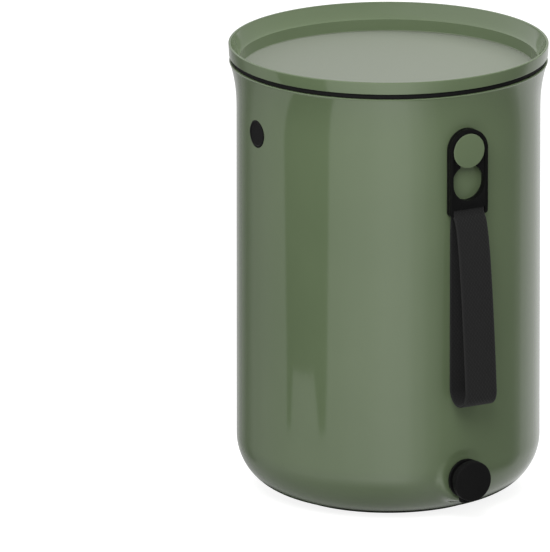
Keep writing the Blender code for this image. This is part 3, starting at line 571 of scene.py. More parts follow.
def build_card():
    flat_back = Vector((math.sin(AZIMUTH), -math.cos(AZIMUTH), 0))
    near = camera_right * CARD_NEAR[0] + flat_back * CARD_NEAR[1]
    far = camera_right * CARD_FAR[0] + flat_back * CARD_FAR[1]
    outline = [*CARD_BODY, *CARD_RIGHT_LEG, *CARD_LEFT_LEG, CARD_BODY[0]]
    card = slab("studio_card", outline, -CARD_THICKNESS / 2, CARD_THICKNESS / 2)
    card.rotation_euler = (math.pi / 2, 0, math.atan2((near - far).y, (near - far).x))
    card.location = (near + far) / 2
    settle(card)
    card.visible_camera = False
    card.visible_diffuse = False
    card.visible_shadow = False
    black_card = surface("black_card", lambda paint: {}, **{"Base Color": grey(0.0), "Roughness": 1.0})
    card.data.materials.append(black_card)
    card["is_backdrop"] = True
    return card


card = build_card()
print("card:", len(card.data.polygons), "faces")

# %% [markdown]
# ## Plastics, rubber and steel
# The tub and lid are coloured right through and come out of a polished mould. Their colour is one even
# green. What tells the eye that it is plastic is the clear mirror of the room on it, a very shallow
# orange peel that makes the mirror waver, and fine wipe marks that dull it here and there. The black
# pieces come out of a textured mould, whose fine spark pattern breaks the mirror up. Rubber and the
# grid's plastic differ from them only in numbers, so they share one function. The screws are brushed.

# %% Mix the plastics, the rubber and the steel
GREEN = (0.112, 0.15, 0.082)
GREEN_SHADE = (0.104, 0.141, 0.076)
GREEN_FROST = (0.114, 0.135, 0.091)
WIPE_LENGTH = 14.0
BLACK_CLOUD = 1.35
RUB_GAIN = 0.12
FROST_ROUGHNESS = 0.5
FROST_SPREAD = 0.2
STEEL_DARK = 0.52
STEEL_PALE = 0.62
STEEL_ROUGHNESS = 0.24
STEEL_SPREAD = 0.14
BRUSH_LENGTH = 30.0
DULL_SPECULAR = 0.08


def green_finish(paint, gloss=0.1, wipe=0.05):
    place = paint.place()
    cloud = paint.noise(place, scale=9.0, detail=3.0)
    round_the_tub = paint.stretched(place, 1.0, 1.0, WIPE_LENGTH)
    wiped = paint.noise(round_the_tub, scale=40.0, detail=4.0, roughness=0.6)
    peel = paint.noise(place, scale=420.0)
    return {
        "Base Color": paint.mix(cloud.ramp(low=0.3, high=0.7), (*GREEN, 1.0), (*GREEN_SHADE, 1.0)),
        "Roughness": gloss + wiped.ramp(low=0.45, high=0.8) * wipe,
        "Normal": paint.bump(peel, distance=0.000012),
    }


def black_finish(paint, level=0.004, gloss=0.38, grain=1500.0, depth=0.00003):
    place = paint.place()
    cloud = paint.noise(place, scale=60.0, detail=3.0)
    spark = paint.noise(place, scale=grain, roughness=0.6)
    rub = paint.noise(place, scale=180.0, detail=4.0, roughness=0.65)
    return {
        "Base Color": paint.mix(cloud, grey(level), grey(level * BLACK_CLOUD)),
        "Roughness": gloss + rub.ramp(low=0.35, high=0.75) * RUB_GAIN,
        "Normal": paint.bump(spark, depth),
    }


def frosted_finish(paint):
    """A greyer shade of the green under a fine spark texture, which keeps scratches from showing."""
    spark = paint.noise(paint.place(), scale=1700.0, detail=3.0, roughness=0.6)
    return {
        "Base Color": (*GREEN_FROST, 1.0),
        "Roughness": FROST_ROUGHNESS + spark * FROST_SPREAD,
        "Normal": paint.bump(spark, distance=0.00002),
    }


def grid_finish(paint):
    return black_finish(paint, level=0.03, gloss=0.4, grain=1100.0, depth=0.00004)


def rubber_finish(paint):
    return black_finish(paint, level=0.007, gloss=0.6, grain=900.0, depth=0.00005)


def steel_finish(paint):
    along_the_brush = paint.stretched(paint.place(), 1.0, 1.0, BRUSH_LENGTH)
    brushed = paint.noise(along_the_brush, scale=300.0, detail=3.0, roughness=0.6)
    return {
        "Base Color": paint.mix(brushed, grey(STEEL_DARK), grey(STEEL_PALE)),
        "Roughness": STEEL_ROUGHNESS + brushed * STEEL_SPREAD,
        "Normal": paint.bump(brushed, distance=0.00001),
    }


green_plastic = surface("moulded_green", green_finish)
frost = {"Specular IOR Level": 0.2, "Sheen Weight": 0.36, "Sheen Roughness": 0.5}
frosted_green = surface("frosted_green", frosted_finish, **frost)
dull = {"Specular IOR Level": DULL_SPECULAR}
black_plastic = surface("satin_black", black_finish, **dull)
duller = {"Specular IOR Level": DULL_SPECULAR / 2}
knob_plastic = surface("knob_black", lambda paint: black_finish(paint, level=0.007, gloss=0.5), **duller)
grid_plastic = surface("grid_black", grid_finish)
rubber = surface("soft_rubber", rubber_finish, **dull)
steel = surface("stainless", steel_finish, Metallic=1.0)
print("finishes:", len([m for m in bpy.data.materials if m.users]))

# %% [markdown]
# ## The tub
# The tub is one moulding: a straight wall, a wide round bottom corner and a rim that flares like a
# trumpet. Spinning the section gives a perfect mirror surface, which a box-modelled tub would not. The
# steps are finer round the tap, where the wall is blended into a flat seat, and the rows are closer
# there and beside the buttons, so that a cut or a blend only bends small faces.

# %% Spin the tub
TUB_RADIUS = 0.1067
TUB_WALL = 0.0025
CORNER_RADIUS = 0.0386
FLARE_HEIGHT = 0.0363
FLARE_EXPONENT = 2.4
MOUTH_LIP = 0.0013
RIM_ROUND = 0.0006
TUB_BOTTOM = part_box("tub")[0].z
RIM_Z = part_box("tub")[1].z
RIM_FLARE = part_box("tub")[1].x - TUB_RADIUS
CORNER_CENTRE = (TUB_RADIUS - CORNER_RADIUS, TUB_BOTTOM + CORNER_RADIUS)
FINE_SECTOR = (30, 60)
REST_SECTOR = (330, 330)
CORNER_STEPS = 56
INNER_CORNER_STEPS = 20
FLARE_STEPS = 24
INNER_FLARE_STEPS = 14
FLARE_EASE = 1.3
FLARE_START = 1.6
RIM_STEPS = 5
RIM_GUIDE = 0.003
SEAT_ROWS = 12
SEAT_ROW_HEIGHT = 0.002
WALL_ROWS = (0.15, 0.08)
TAP_ROWS_IN_MM = range(58, 40, -1)


def tub_radius_at(drop):
    """The outside radius at a drop below the rim."""
    if drop >= FLARE_HEIGHT:
        return TUB_RADIUS
    return TUB_RADIUS + RIM_FLARE * (1 - drop / FLARE_HEIGHT) ** FLARE_EXPONENT


def flare(first_drop, steps):
    """Points of (outside radius, height) from a drop down to the flare's foot."""
    shares = [(step / steps) ** FLARE_EASE for step in range(steps + 1)]
    drops = [first_drop + (FLARE_HEIGHT - first_drop) * share for share in shares]
    return [(tub_radius_at(drop), RIM_Z - drop) for drop in drops]


def tub_profile():
    """Up the inside from the middle of the floor, over the rim, and down the outside.

    The first and last of the rim's corners only steer its arcs, and are left out of the line.
    """
    mouth_drop = FLARE_HEIGHT * (1 - (1 - MOUTH_LIP / RIM_FLARE) ** (1 / FLARE_EXPONENT))
    mouth = tub_radius_at(mouth_drop) - TUB_WALL
    rim = TUB_RADIUS + RIM_FLARE
    inside = [(0, TUB_BOTTOM + TUB_WALL)]
    inside += bow(CORNER_CENTRE, CORNER_RADIUS - TUB_WALL, -90, 0, INNER_CORNER_STEPS)
    inner_flare = reversed(flare(mouth_drop, INNER_FLARE_STEPS))
    inside += [(radius - TUB_WALL, height) for radius, height in inner_flare]
    corners = [(mouth, RIM_Z - RIM_GUIDE), (mouth, RIM_Z, RIM_ROUND), (rim, RIM_Z, RIM_ROUND), (rim, 0)]
    top = rounded(corners, RIM_STEPS)[1:-1]
    rows = [(TUB_RADIUS, RIM_Z - FLARE_HEIGHT - row * SEAT_ROW_HEIGHT) for row in range(1, SEAT_ROWS)]
    rows += [(TUB_RADIUS, height) for height in WALL_ROWS]
    rows += [(TUB_RADIUS, height / 1000) for height in TAP_ROWS_IN_MM]
    corner = reversed(bow(CORNER_CENTRE, CORNER_RADIUS, -90, 0, CORNER_STEPS))
    outside = [*flare(RIM_ROUND * FLARE_START, FLARE_STEPS), *rows, *corner]
    return inside + top + outside + [(0, TUB_BOTTOM)]


tub = turned("tub_shell", tub_profile(), (FINE_SECTOR, REST_SECTOR), -90 - FINE_SECTOR[0] / 2)
print("tub:", len(tub.data.vertices), "points")

# %% [markdown]
# ## The tap's seat and the holes
# A flat gasket needs a flat seat, so a disc of the wall is pushed forward to one plane and blended back
# into the curve over a few millimetres. A blend like that is a short formula over the wall's vertices.
# Inside, a round boss carries the nut, and one cutter opens the bore, the pocket and the other holes.

# %% Form the seat and cut the holes
TAP_Z = 0.032
TAP_SEAT = 0.106
SEAT_RADIUS = 0.016
SEAT_BLEND = 0.0055
BOSS_BACK = 0.0965
POCKET_RADIUS = 0.0134
POCKET_FACE = 0.1032
TAP_BORE = 0.0083
BUTTON_Z = 0.2701
BUTTON_HOLE = 0.0043
PLUG_Z = 0.2705
PLUG_BORE = 0.0073
PLUG_SEAT_RADIUS = 0.0099
PLUG_SEAT = 0.1054
BOSS_SINK = 0.001
CUT_FROM = 0.092
CUT_TO = 0.112


def blend_seat(obj):
    """Moves the outer wall in front of the tap to one plane, and less and less beyond it."""
    for vertex in obj.data.vertices:
        x, y, z = vertex.co
        away = math.hypot(x, z - TAP_Z)
        from_centre = math.hypot(math.hypot(x, y) - CORNER_CENTRE[0], min(z - CORNER_CENTRE[1], 0))
        outer = from_centre > CORNER_RADIUS - TUB_WALL / 2
        if y > 0 or not outer or away > SEAT_RADIUS + SEAT_BLEND:
            continue
        share = min(max((SEAT_RADIUS + SEAT_BLEND - away) / SEAT_BLEND, 0), 1)
        vertex.co.y += share * share * (3 - 2 * share) * (-TAP_SEAT - y)


def bar(name, corners, steps, side, height):
    """A turned tool through the wall, from (radius, distance out) corners."""
    line = [(0, corners[0][1]), *corners, (0, corners[-1][1])]
    return face(turned(name, line, steps), side, height)


blend_seat(tub)
boss = bar("boss", [(SEAT_RADIUS, TAP_SEAT - BOSS_SINK), (SEAT_RADIUS, BOSS_BACK)], 96, "front", TAP_Z)
combine(tub, "UNION", boss)
tap_steps = [
    (TAP_BORE, CUT_TO), (TAP_BORE, POCKET_FACE), (POCKET_RADIUS, POCKET_FACE), (POCKET_RADIUS, CUT_FROM)
]
plug_steps = [
    (PLUG_SEAT_RADIUS, CUT_TO), (PLUG_SEAT_RADIUS, PLUG_SEAT), (PLUG_BORE, PLUG_SEAT), (PLUG_BORE, CUT_FROM)
]
button_steps = [(BUTTON_HOLE, CUT_TO), (BUTTON_HOLE, CUT_FROM)]
tools = [bar("tap_cut", tap_steps, 64, "front", TAP_Z)]
tools += [bar(side + "_plug_cut", plug_steps, 64, side, PLUG_Z) for side in ("left", "right")]
tools += [bar(side + "_button_cut", button_steps, 48, side, BUTTON_Z) for side in ("front", "rear")]
combine(tub, "DIFFERENCE", as_one("wall_cuts", tools))
dress(tub, "bin", green_plastic, "tub_green", "tub", angle=38)

# %% [markdown]
# ## The lid
# The lid is a shallow dish with a thin upright lip. Its section is drawn once, from the middle of the
# floor out over the lip and back underneath, where a plug wall drops into the tub's mouth. A soft
# crease runs round the slope, and it is a real change of slope here, not a painted line. The dish's
# floor is duller and paler than its walls, so the faces that look up there get the frosted finish.

# %% Spin the lid
LID_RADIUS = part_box("lid")[1].x
LID_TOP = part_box("lid")[1].z
LID_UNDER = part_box("lid")[0].z
SKIRT_HEIGHT = 0.0088
SKIRT_DRAFT = 0.0004
LID_LIP = 0.0018
LID_WALL = 0.002
CREASE_DEPTH = 0.011
CREASE_RADIUS = 0.1044
PLUG_WALL_RADIUS = 0.1073
FLOOR_RADIUS = 0.1036
SLOPE_EXPONENT = 0.75
SLOPE_STEPS = 16
LIP_ROUND = 0.0006
LID_FILLET = 0.001
GROOVE_OUT = 0.0011
GROOVE_WIDTH = 0.0014
GROOVE_DEPTH = 0.0018
LOOKS_UP = 0.5


def lid_profile():
    floor = LID_UNDER + LID_WALL
    skirt = LID_TOP - SKIRT_HEIGHT
    lip = LID_RADIUS - LID_LIP
    crease = LID_TOP - CREASE_DEPTH
    line = rounded([(0, floor), (FLOOR_RADIUS, floor, LID_FILLET), (CREASE_RADIUS, crease)], steps=10)
    for step in range(1, SLOPE_STEPS):
        share = step / SLOPE_STEPS
        height = crease + (CREASE_DEPTH - LIP_ROUND) * share
        line.append((CREASE_RADIUS + (lip - CREASE_RADIUS) * share**SLOPE_EXPONENT, height))
    groove = PLUG_WALL_RADIUS + GROOVE_OUT
    edge = [
        (lip, LID_TOP - 2 * LIP_ROUND),
        (lip, LID_TOP, LIP_ROUND),
        (LID_RADIUS, LID_TOP, LIP_ROUND),
        (LID_RADIUS - SKIRT_DRAFT, skirt, LIP_ROUND),
        (groove + GROOVE_WIDTH, skirt),
        (groove + GROOVE_WIDTH, skirt + GROOVE_DEPTH),
        (groove, skirt + GROOVE_DEPTH),
        (groove, skirt),
        (PLUG_WALL_RADIUS, skirt, PLAIN_EDGE),
        (FLOOR_RADIUS + LID_WALL, LID_UNDER, LID_FILLET + LID_WALL),
        (0, LID_UNDER),
    ]
    return line + rounded(edge, steps=6)[1:]


lid = turned("lid_dish", lid_profile(), 240)
dress(lid, "lid", green_plastic, "lid_green", "lid", angle=20)
lid.data.materials.append(frosted_green)
for polygon in lid.data.polygons:
    on_floor = polygon.normal.z > LOOKS_UP and polygon.center.z < LID_UNDER + 2 * LID_WALL
    polygon.material_index = 1 if on_floor else 0

# %% [markdown]
# ## Rubber seal and base pad
# Between lid and rim lies a rubber ring, the thin dark line in the photograph. The tub stands on a
# rubber disc, of which only the edge shows. Both are spun like the lid, with edges as soft as rubber's.

# %% Spin the seal and the pad
CLEARANCE = 0.0003
TONGUE_OUT = 0.0014
TONGUE_WIDTH = 0.0008
TONGUE_HEIGHT = 0.0018


def seal_profile():
    low, high = (corner.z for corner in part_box("lid_seal"))
    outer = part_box("lid_seal")[1].x
    inner = PLUG_WALL_RADIUS + CLEARANCE
    top = high - TONGUE_HEIGHT
    tongue = PLUG_WALL_RADIUS + TONGUE_OUT
    corners = [
        (tongue, high, FINE_EDGE), (tongue + TONGUE_WIDTH, high, FINE_EDGE), (tongue + TONGUE_WIDTH, top),
        (outer, top, MILD_EDGE), (outer, low, MILD_EDGE), (inner, low, PLAIN_EDGE),
        (inner, top, CRISP_EDGE), (tongue, top),
    ]
    return rounded(corners, closed=True)


def pad_profile():
    low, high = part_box("base_pad")
    return rounded([(0, high.z), (high.x, high.z, MILD_EDGE), (high.x, low.z, MILD_EDGE), (0, low.z)])


dress(turned("seal_ring", seal_profile(), 240), "lid", rubber, "rubber", "lid_seal")
dress(turned("pad_disc", pad_profile(), 160), "bin", rubber, "rubber", "base_pad")

# %% [markdown]
# ## The drain grid
# Under the waste lies a strainer on five feet, seen when the lid is off. It is a spun plate with a
# standing rim. Its holes repeat, so one countersunk cutter is modelled and copied round the rings, and
# all the copies cut the plate in one step. The feet are one cone, copied the same way.

# %% Spin and pierce the grid
GRID_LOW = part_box("drain_grid")[0].z
GRID_RADIUS = 0.1
GRID_TOP = 0.0564
GRID_PLATE = 0.0024
GRID_RIM_DEPTH = 0.005
GRID_LIP = 0.001
GRID_RIM_WALL = 0.002
HOLE_RADIUS = 0.004
HOLE_PITCH = 0.0225
HOLE_RINGS = 4
HOLES_IN_FIRST_RING = 6
HOLE_OVERRUN = 0.001
COUNTERSINK = 0.0006
FEET = 5
FOOT_CIRCLE = 0.05625
FOOT_TOP_RADIUS = 0.0045
FOOT_END_RADIUS = 0.0036
FOOT_SINK = 0.001
GRID_RIM_EDGE = 0.0007


def grid_profile():
    under = GRID_TOP - GRID_PLATE
    inner = GRID_RADIUS - GRID_RIM_WALL
    corners = [
        (0, GRID_TOP), (inner, GRID_TOP, SOFT_EDGE), (inner, GRID_TOP + GRID_LIP, CRISP_EDGE),
        (GRID_RADIUS, GRID_TOP + GRID_LIP, GRID_RIM_EDGE),
        (GRID_RADIUS, under - GRID_RIM_DEPTH, PLAIN_EDGE), (inner, under - GRID_RIM_DEPTH, PLAIN_EDGE),
        (inner, under, ROUND_EDGE), (0, under),
    ]
    return rounded(corners)


def copies(piece, places):
    """The piece once at each place, each copy with its own mesh, made one object."""
    made = []
    for x, y in places:
        made.append(piece.copy())
        made[-1].data = piece.data.copy()
        made[-1].location = (x, y, 0)
        bpy.context.collection.objects.link(made[-1])
        settle(made[-1])
    name = piece.name
    bpy.data.objects.remove(piece)
    return as_one(name, made)


def hole_places():
    places = [(0, 0)]
    for ring in range(1, HOLE_RINGS + 1):
        places += bow((0, 0), ring * HOLE_PITCH, 0, 360, ring * HOLES_IN_FIRST_RING)[1:]
    return places


def hole_cutter():
    above = GRID_TOP + HOLE_OVERRUN
    below = GRID_TOP - GRID_PLATE - HOLE_OVERRUN
    wide = HOLE_RADIUS + COUNTERSINK
    line = [(0, above), (wide, above), (wide, GRID_TOP), (HOLE_RADIUS, GRID_TOP - COUNTERSINK)]
    line += [(HOLE_RADIUS, below), (0, below)]
    return turned("drain_hole", line, 28)


def grid_foot():
    top = GRID_TOP - FOOT_SINK
    line = [(0, top), (FOOT_TOP_RADIUS, top), (FOOT_END_RADIUS, GRID_LOW, SOFT_EDGE), (0, GRID_LOW)]
    return turned("grid_foot", rounded(line), 32)


grid = turned("strainer", grid_profile(), 160)
combine(grid, "UNION", copies(grid_foot(), bow((0, 0), FOOT_CIRCLE, 90, 450, FEET)[1:]))
combine(grid, "DIFFERENCE", copies(hole_cutter(), hole_places()))
dress(grid, "grid", grid_plastic, "grid_plastic", "drain_grid")

# %% [markdown]
# ## The tap
# The tap's body is a flange, a short barrel with a flat spout below, and a threaded shank through the
# wall. Its knob is a plain disc: a shallow cup on the square end of the core. The round forms are spun
# facing up and then turned to face the front, so their lines can be written in one simple pair of
# directions. The flat spout is pulled up from an outline and joined on.

# %% Spin the tap's body and knob
FLANGE_BACK = 0.1078
FLANGE_FRONT = 0.1096
FLANGE_RADIUS = 0.0139
BARREL_FRONT = 0.1142
BARREL_RADIUS = 0.011
SHANK_RADIUS = 0.008
SHANK_END = 0.0915
PLUG_HOLE = 0.0053
WIDE_HOLE = 0.0063
WIDE_HOLE_DEPTH = 0.0128
THREAD_PITCH = 0.002
THREAD_DEPTH = 0.0005
FIRST_CREST = 0.75
SPOUT_OUT = 0.1112
SPOUT_DROP = 0.008
SPOUT_WIDTH = 0.012
SPOUT_DEPTH = 0.0057
SPOUT_END = 0.016
SPOUT_WALL = 0.0013
WATERWAY_DROP = 0.0025
CUT_OVERRUN = 0.002
KNOB_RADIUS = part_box("tap_knob")[1].x
KNOB_FRONT = -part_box("tap_knob")[0].y
KNOB_BACK = -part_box("tap_knob")[1].y
KNOB_FACE = 0.0022
KNOB_SKIRT = 0.0018
KNOB_EDGE = 0.001
POST_RADIUS = 0.0052
SOCKET_HALF = 0.0026


def tap_body():
    corners = [
        (PLUG_HOLE, BARREL_FRONT, CRISP_EDGE), (BARREL_RADIUS, BARREL_FRONT, PLAIN_EDGE),
        (BARREL_RADIUS, FLANGE_FRONT, ROUND_EDGE), (FLANGE_RADIUS, FLANGE_FRONT, SOFT_EDGE),
        (FLANGE_RADIUS, FLANGE_BACK, CRISP_EDGE), (SHANK_RADIUS, FLANGE_BACK),
    ]
    root = SHANK_RADIUS - THREAD_DEPTH
    for ridge in range(int((FLANGE_BACK - SHANK_END) / THREAD_PITCH)):
        crest = FLANGE_BACK - (ridge + FIRST_CREST) * THREAD_PITCH
        corners += [(root, crest + THREAD_PITCH / 2), (SHANK_RADIUS, crest)]
    hole_end = SHANK_END + WIDE_HOLE_DEPTH
    corners += [(root, SHANK_END), (WIDE_HOLE, SHANK_END), (WIDE_HOLE, hole_end), (PLUG_HOLE, hole_end)]
    body = face(turned("tap_valve_body", rounded(corners, closed=True), 96), "front", TAP_Z)
    spout = pipe("spout", SPOUT_WIDTH, SPOUT_DEPTH, SPOUT_END, TAP_Z - SPOUT_DROP, SPOUT_WALL)
    inner = [size - 2 * SPOUT_WALL for size in (SPOUT_WIDTH, SPOUT_DEPTH)]
    way = pipe("way", *inner, SPOUT_END - CUT_OVERRUN, TAP_Z - WATERWAY_DROP, SPOUT_WALL / 2)
    combine(body, "UNION", spout)
    return combine(body, "DIFFERENCE", way)


def pipe(name, width, depth, low, high, corner):
    """An upright bar with round corners, in front of the tub at the spout."""
    x = width / 2
    y = depth / 2
    corners = [(x, y, corner), (-x, y, corner), (-x, -y, corner), (x, -y, corner)]
    bar_up = slab(name, rounded(corners, steps=6, closed=True), low, high)
    bar_up.location = (0, -SPOUT_OUT, 0)
    return settle(bar_up)


def tap_knob():
    inside = KNOB_FRONT - KNOB_FACE
    inner = KNOB_RADIUS - KNOB_SKIRT
    corners = [
        (0, KNOB_FRONT), (KNOB_RADIUS, KNOB_FRONT, KNOB_EDGE), (KNOB_RADIUS, KNOB_BACK, PLAIN_EDGE),
        (inner, KNOB_BACK, PLAIN_EDGE), (inner, inside, SOFT_EDGE), (POST_RADIUS, inside, SOFT_EDGE),
        (POST_RADIUS, KNOB_BACK, CRISP_EDGE), (0, KNOB_BACK),
    ]
    knob = face(turned("knob", rounded(corners, steps=6), 128), "front", TAP_Z)
    socket = start("socket", bpy.ops.mesh.primitive_cube_add, size=2 * SOCKET_HALF)
    socket.location = (0, -BARREL_FRONT - CLEARANCE, TAP_Z)
    return combine(knob, "DIFFERENCE", settle(socket))


dress(tap_body(), "bin", black_plastic, "black_plastic", "tap_body")
dress(tap_knob(), "tap_core", knob_plastic, "black_plastic", "tap_knob")

# %% [markdown]
# ## Strap buttons and side plugs
# The strap hangs on a flat green button, moulded in the tub's own plastic, and a second one sits at the
# back. Each side has a black plug let into the wall: a shallow dished flange on a hollow stem. Each kind
# has one function, which is called for both of its sides.

# %% Spin the buttons and plugs
BUTTON_FRONT = -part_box("front_button")[0].y
BUTTON_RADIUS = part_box("front_button")[1].x
BUTTON_HEAD = 0.0014
BUTTON_NECK_RADIUS = 0.006
BUTTON_SPIGOT = 0.004
BUTTON_BACK = 0.1038
SCREW_HOLE = 0.0018
SCREW_HOLE_END = 0.11
PLUG_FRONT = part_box("right_side_plug")[1].x
PLUG_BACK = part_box("right_side_plug")[0].x
PLUG_RADIUS = 0.0096
PLUG_FLANGE = 0.0012
PLUG_RIM = 0.0013
PLUG_DISH = 0.0004
STEM_RADIUS = 0.007
STEM_HOLLOW = 0.0055
BARB = 0.0008
BARB_EDGE = 0.0001
BARB_TOP = 0.0032
BARB_FOOT = 0.0016


def strap_button(side):
    shoulder = TUB_RADIUS + CLEARANCE
    under = BUTTON_FRONT - BUTTON_HEAD
    corners = [
        (0, BUTTON_FRONT), (BUTTON_RADIUS, BUTTON_FRONT, SOFT_EDGE), (BUTTON_RADIUS, under, CRISP_EDGE),
        (BUTTON_NECK_RADIUS, under, PLAIN_EDGE), (BUTTON_NECK_RADIUS, shoulder, CRISP_EDGE),
        (BUTTON_SPIGOT, shoulder), (BUTTON_SPIGOT, BUTTON_BACK, CRISP_EDGE),
        (SCREW_HOLE, BUTTON_BACK, FINE_EDGE), (SCREW_HOLE, SCREW_HOLE_END), (0, SCREW_HOLE_END),
    ]
    return face(turned(side + "_strap_button", rounded(corners, steps=6), 96), side, BUTTON_Z)


def side_plug(side):
    seat = PLUG_FRONT - PLUG_FLANGE
    rim = PLUG_RADIUS - PLUG_RIM
    dish = PLUG_FRONT - PLUG_DISH
    barb = PLUG_BACK + BARB_TOP
    corners = [
        (0, dish), (rim - PLUG_DISH, dish, PLAIN_EDGE),
        (rim, PLUG_FRONT, FINE_EDGE), (PLUG_RADIUS, PLUG_FRONT, MILD_EDGE), (PLUG_RADIUS, seat, FINE_EDGE),
        (STEM_RADIUS, seat), (STEM_RADIUS, barb), (STEM_RADIUS + BARB, barb, BARB_EDGE),
        (STEM_RADIUS, PLUG_BACK + BARB_FOOT), (STEM_RADIUS, PLUG_BACK, CRISP_EDGE),
        (STEM_HOLLOW, PLUG_BACK, CRISP_EDGE), (STEM_HOLLOW, seat), (0, seat),
    ]
    return face(turned(side + "_blank_plug", rounded(corners), 80), side, PLUG_Z)


for side in ("front", "rear"):
    dress(strap_button(side), "bin", green_plastic, "tub_green", side + "_button")
for side in ("left", "right"):
    dress(side_plug(side), "bin", black_plastic, "black_plastic", side + "_side_plug")

# %% [markdown]
# ## The keyhole plates
# Each end of the strap is a plate with a keyhole: a slot that seats on the button's neck and a circle
# that lets its head through. The head lies in a sunk track, so it ends flush with the plate. The two
# plates are one part, and the inner one is turned round. The outline is filled, pulled to thickness and
# cut, and a small bevel softens every edge that the cutters left.

# %% Cut the plates
PLATE_THICKNESS = 0.0026
PLATE_HALF = 0.015
PLATE_RISE = 0.0156
PLATE_DROP = 0.0465
PLATE_CORNER = 0.0025
PLATE_BEVEL = 0.0003
KEY_TRAVEL = 0.0231
KEY_RADIUS = 0.0128
SLOT_HALF = 0.0063
TRACK_DEPTH = 0.0017
POCKET_SIDE = 0.0128
POCKET_HALF = 0.0009
WEBBING_HOLD = 0.007
WEBBING_LIP = 0.0048


def plate_outline():
    line = bow((0, PLATE_RISE - PLATE_HALF), PLATE_HALF, 0, 180, 48)
    corner = PLATE_CORNER - PLATE_HALF
    line += bow((corner, PLATE_CORNER - PLATE_DROP), PLATE_CORNER, 180, 270, 8)
    line += bow((-corner, PLATE_CORNER - PLATE_DROP), PLATE_CORNER, 270, 360, 8)
    return line + line[:1]


def keyhole():
    spread = math.degrees(math.asin(SLOT_HALF / KEY_RADIUS))
    line = bow((0, 0), SLOT_HALF, 0, 180, 28)
    line += bow((0, -KEY_TRAVEL), KEY_RADIUS, 90 + spread, 450 - spread, 72)
    return line + line[:1]


def head_track():
    line = bow((0, 0), KEY_RADIUS, 0, 180, 48) + bow((0, -KEY_TRAVEL), KEY_RADIUS, 180, 360, 48)
    return line + line[:1]


def box_of(low, high):
    """A rectangle's outline between two corners."""
    return [low, (high[0], low[1]), high, (low[0], high[1]), low]


def hook_plate(name, back, turned_round):
    """One plate, with its track and its lip's channel open to the front, or turned round to the back."""
    front = back + PLATE_THICKNESS
    middle = (back + front) / 2
    low = back - CUT_OVERRUN
    high = front + CUT_OVERRUN
    track = (low, back + TRACK_DEPTH) if turned_round else (front - TRACK_DEPTH, high)
    lip = (low, middle + POCKET_HALF) if turned_round else (middle - POCKET_HALF, high)
    under = -PLATE_DROP - CUT_OVERRUN
    pocket = box_of((-POCKET_SIDE, under), (POCKET_SIDE, WEBBING_HOLD - PLATE_DROP + CLEARANCE))
    channel = box_of((-POCKET_SIDE, under), (POCKET_SIDE, WEBBING_LIP - PLATE_DROP))
    plate = slab(name, plate_outline(), back, front)
    tools = (
        slab("keyhole", keyhole(), low, high),
        slab("track", head_track(), *track),
        slab("pocket", pocket, middle - POCKET_HALF, middle + POCKET_HALF),
        slab("channel", channel, *lip),
    )
    combine(plate, "DIFFERENCE", *tools)
    apply(plate, "BEVEL", width=PLATE_BEVEL, segments=2, limit_method="ANGLE", angle_limit=math.radians(50))
    return face(plate, "front", BUTTON_Z)


for node, name, turned_round in (
    ("inner_hook_plate", "inner_key_plate", True),
    ("outer_hook_plate", "outer_key_plate", False),
):
    back = -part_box(node)[1].y
    dress(hook_plate(name, back, turned_round), "strap", black_plastic, "black_plastic", node, angle=40)

# %% [markdown]
# ## The webbing
# The strap is a flat woven band, 25 mm wide and about 300 mm long, that hangs in its stored loop: down
# from the outer plate, round a soft bend, and back up behind to the inner plate. It is one sheet along
# its real path, with thickness from a Solidify modifier. Its UV map is measured in metres along and
# across the band, so the weave keeps its size round the bend.

# %% Hang the webbing
WEBBING_WIDTH = 0.025
WEBBING_THICKNESS = 0.0012
LOOP_DROP = 0.1363
LOOP_DEPTH = 0.0236
BEND_HEIGHT = 0.011
FRONT_EXPONENT = 0.5
BACK_LEAD = 0.012
RUN_STEPS = 60
BEND_STEPS = 32
ACROSS_STEPS = 20
ALONG_STEP = 0.001
EASING_PASSES = 3
SELVEDGE_ROUND = 0.0004


def webbing_corners():
    """The band's middle line as (distance out, height over the button), from plate to plate."""
    outer, inner = (
        -(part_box(node)[0].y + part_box(node)[1].y) / 2 for node in ("outer_hook_plate", "inner_hook_plate")
    )
    half = WEBBING_THICKNESS / 2
    back = TUB_RADIUS + CLEARANCE + half
    deepest = TUB_RADIUS + LOOP_DEPTH - half
    bend_top = BEND_HEIGHT - PLATE_DROP - LOOP_DROP
    run = -PLATE_DROP - bend_top
    line = [(outer, WEBBING_HOLD - PLATE_DROP), (outer, WEBBING_HOLD / 2 - PLATE_DROP)]
    for step in range(RUN_STEPS):
        share = step / RUN_STEPS
        line.append((outer + (deepest - outer) * share**FRONT_EXPONENT, -PLATE_DROP - run * share))
    centre = (deepest + back) / 2
    for x, y in bow((0, 0), 1, 0, 180, BEND_STEPS):
        line.append((centre + (deepest - back) / 2 * x, bend_top - (BEND_HEIGHT - half) * y))
    line += [(back, -PLATE_DROP - BACK_LEAD), (inner, -PLATE_DROP), (inner, WEBBING_HOLD - PLATE_DROP)]
    return line


def even_line(line, step):
    """Points a fixed distance apart along a line, eased by a running mean, and its length."""
    lengths = [0.0]
    for before, after in zip(line, line[1:]):
        lengths.append(lengths[-1] + math.dist(before, after))
    count = round(lengths[-1] / step)
    points = []
    place = 0
    for number in range(count + 1):
        along = lengths[-1] * number / count
        while place < len(line) - 2 and lengths[place + 1] < along:
            place += 1
        share = (along - lengths[place]) / (lengths[place + 1] - lengths[place])
        points.append(Vector(line[place]).lerp(Vector(line[place + 1]), share))
    for _ in range(EASING_PASSES):
        middle = [(a + 2 * b + c) / 4 for a, b, c in zip(points, points[1:], points[2:])]
        points = [points[0], *middle, points[-1]]
    return points, lengths[-1]


